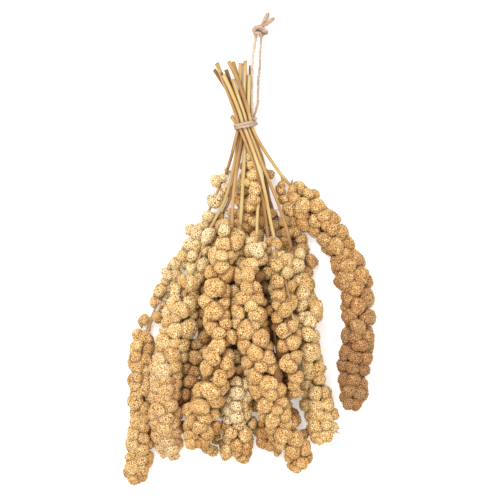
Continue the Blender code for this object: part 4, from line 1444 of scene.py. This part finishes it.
def wrap_route(stalks):
    """Route of the wraps, drawn tight round the stalks and ending in a loose end."""
    middle = np.array([*TIE_CENTRE, 0.0])
    across = np.array([math.cos(TIE_TILT), math.sin(TIE_TILT), 0.0])
    lengthways = np.array([-math.sin(TIE_TILT), math.cos(TIE_TILT), 0.0])
    upward = np.array([0.0, 0.0, 1.0])
    inside = [line[np.abs((line - middle) @ lengthways).argmin()] - middle for line in stalks]
    inside = np.array([(place @ across, place[2]) for place in inside])
    route = []
    for turn in np.linspace(0, 2 * math.pi * WRAP_TURNS, WRAP_STEPS * WRAP_TURNS + 1):
        out = np.array([math.cos(turn), math.sin(turn)])
        flat = inside[(inside @ out).argmax()] + out * (STALK_RADIUS + 0.9 * WRAP_RADIUS)
        shift = (turn / (2 * math.pi) - WRAP_TURNS / 2) * WRAP_PITCH
        shift += 0.5 * noise.noise(Vector((turn * 0.9, 3.0, 0.0)))
        route.append(middle + across * flat[0] + upward * flat[1] + lengthways * shift)
    end = route[-1]
    for aside, rise, onward in WRAP_END:
        route.append(end + across * aside + upward * rise + lengthways * onward)
    return along(np.array(route), 1.2)


# Surface, light and camera


def floor():
    """The plain pale surface the bunch lies on."""
    shape = bmesh.new()
    bmesh.ops.create_grid(shape, x_segments=1, y_segments=1, size=FLOOR_HALF)
    mesh = bpy.data.meshes.new("floor")
    shape.to_mesh(mesh)
    shape.free()
    surface = bpy.data.objects.new("floor", mesh)
    surface.location.z = -FLOOR_DROP
    bpy.context.scene.collection.objects.link(surface)
    finish = Finish("pale_surface")
    finish.set(finish.shader, {
        "Base Color": (0.92, 0.92, 0.915, 1.0), "Roughness": 0.9,
        "Emission Color": (1.0, 1.0, 1.0, 1.0), "Emission Strength": FLOOR_GLOW,
    })
    mesh.materials.append(finish.material)


def lamp(name, place, size, power, aim=(0.0, 0.0, 0.0)):
    """A soft square lamp aimed at the bunch."""
    light = bpy.data.lights.new(name, "AREA")
    light.size = size
    light.energy = power
    lamp_object = bpy.data.objects.new(name, light)
    lamp_object.location = place
    lamp_object.rotation_euler = (Vector(aim) - Vector(place)).to_track_quat("-Z", "Y").to_euler()
    bpy.context.scene.collection.objects.link(lamp_object)


def camera():
    """The camera looks straight down on the bunch."""
    data = bpy.data.cameras.new("camera")
    data.lens = LENS
    data.sensor_width = SENSOR
    eye = bpy.data.objects.new("camera", data)
    height = FRAME_LEVEL + FRAME_WIDTH * LENS / SENSOR
    eye.location = (FRAME_CENTRE[0] * MM, FRAME_CENTRE[1] * MM, height * MM)
    bpy.context.scene.collection.objects.link(eye)
    bpy.context.scene.camera = eye


def studio():
    """Soft light from the upper left, a weak fill and pale surroundings."""
    floor()
    lamp("key_lamp", (-0.7, 0.9, 2.0), 1.5, 48.0)
    lamp("fill_lamp", (1.2, -0.6, 1.5), 1.6, 12.0)
    world = bpy.data.worlds.new("studio")
    world.use_nodes = True
    world.node_tree.nodes["Background"].inputs["Color"].default_value = (1.0, 1.0, 1.0, 1.0)
    world.node_tree.nodes["Background"].inputs["Strength"].default_value = 0.82
    bpy.context.scene.world = world
    bpy.context.scene.view_settings.view_transform = "Standard"


def build():
    """Make every piece of the bunch."""
    random = np.random.default_rng(SEED)
    pale_twine = twine_finish("pale_twine", (226, 204, 180), (150, 120, 96))
    bleached_twine = twine_finish("bleached_twine", (240, 222, 202), (176, 148, 124))
    brown_twine = twine_finish("brown_twine", (226, 199, 174), (150, 117, 93))
    left, right = (
        twine("strand_" + side, [route], radius, finish, "loop_strand_" + side, random)
        for side, route, radius, finish in (
            ("left", STRAND_LEFT, STRAND_LEFT_RADIUS, bleached_twine),
            ("right", STRAND_RIGHT, STRAND_RIGHT_RADIUS, brown_twine),
        )
    )
    knot = twine(
        "knot_top", [KNOT_LEFT, KNOT_RIGHT, KNOT_COLLAR], KNOT_RADIUS, brown_twine, "loop_knot",
        random, tail=KNOT_TAIL,
    )
    twine(
        "knot_tie", [TIE_LEFT, TIE_RIGHT, TIE_TURN], HITCH_RADIUS, brown_twine, "tie_knot",
        random,
    )
    seeds = seed_finish()
    straw = straw_finish()
    lines = [
        lifted("seed_head_" + s.name, smooth_line(np.array(s.head)[:, :2], 1.0)) for s in SPRAYS
    ]
    stalks = [lifted("stem_" + s.name, smooth_line(s.stalk, 1.5)) for s in SPRAYS]
    twine("wraps", [wrap_route(stalks)], WRAP_RADIUS, pale_twine, "tie_band", random)
    clusters = []
    randoms = [np.random.default_rng([SEED, index]) for index in range(len(SPRAYS))]
    for index, (spray, line, stem) in enumerate(zip(SPRAYS, lines, stalks)):
        clusters += clusters_on(index, spray, line, stem, randoms[index])
    settle(clusters, np.vstack(stalks))
    clusters = [c for c in clusters if c.fixed or not blocks(c)]
    # painted shade on the clusters near the deepest furrow
    for cluster in clusters:
        if not cluster.fixed:
            near = from_furrow(cluster, [DEEP_FURROW]) < DEEP_REACH * cluster.size
            cluster.deep_shade = DEEP_SHADE if near else 0.0
    for cluster, lowest in zip(clusters, open_backs(clusters)):
        cluster.lowest = lowest
    clusters = [c for c in clusters if c.lowest < CLOSED_IN]
    for cluster in clusters:
        turn(cluster, randoms[cluster.head])
    templates = {}
    for index, (spray, line) in enumerate(zip(SPRAYS, lines)):
        own = [c for c in clusters if c.head == index]
        seed_head(spray, line, own, clusters, templates, [seeds, straw], randoms[index])
    for template in templates.values():
        bpy.data.meshes.remove(template)
    for spray, line, random in zip(SPRAYS, stalks, randoms):
        stalk(spray, line, np.vstack([s for s in stalks if s is not line]), straw, random)


studio()
camera()
build()
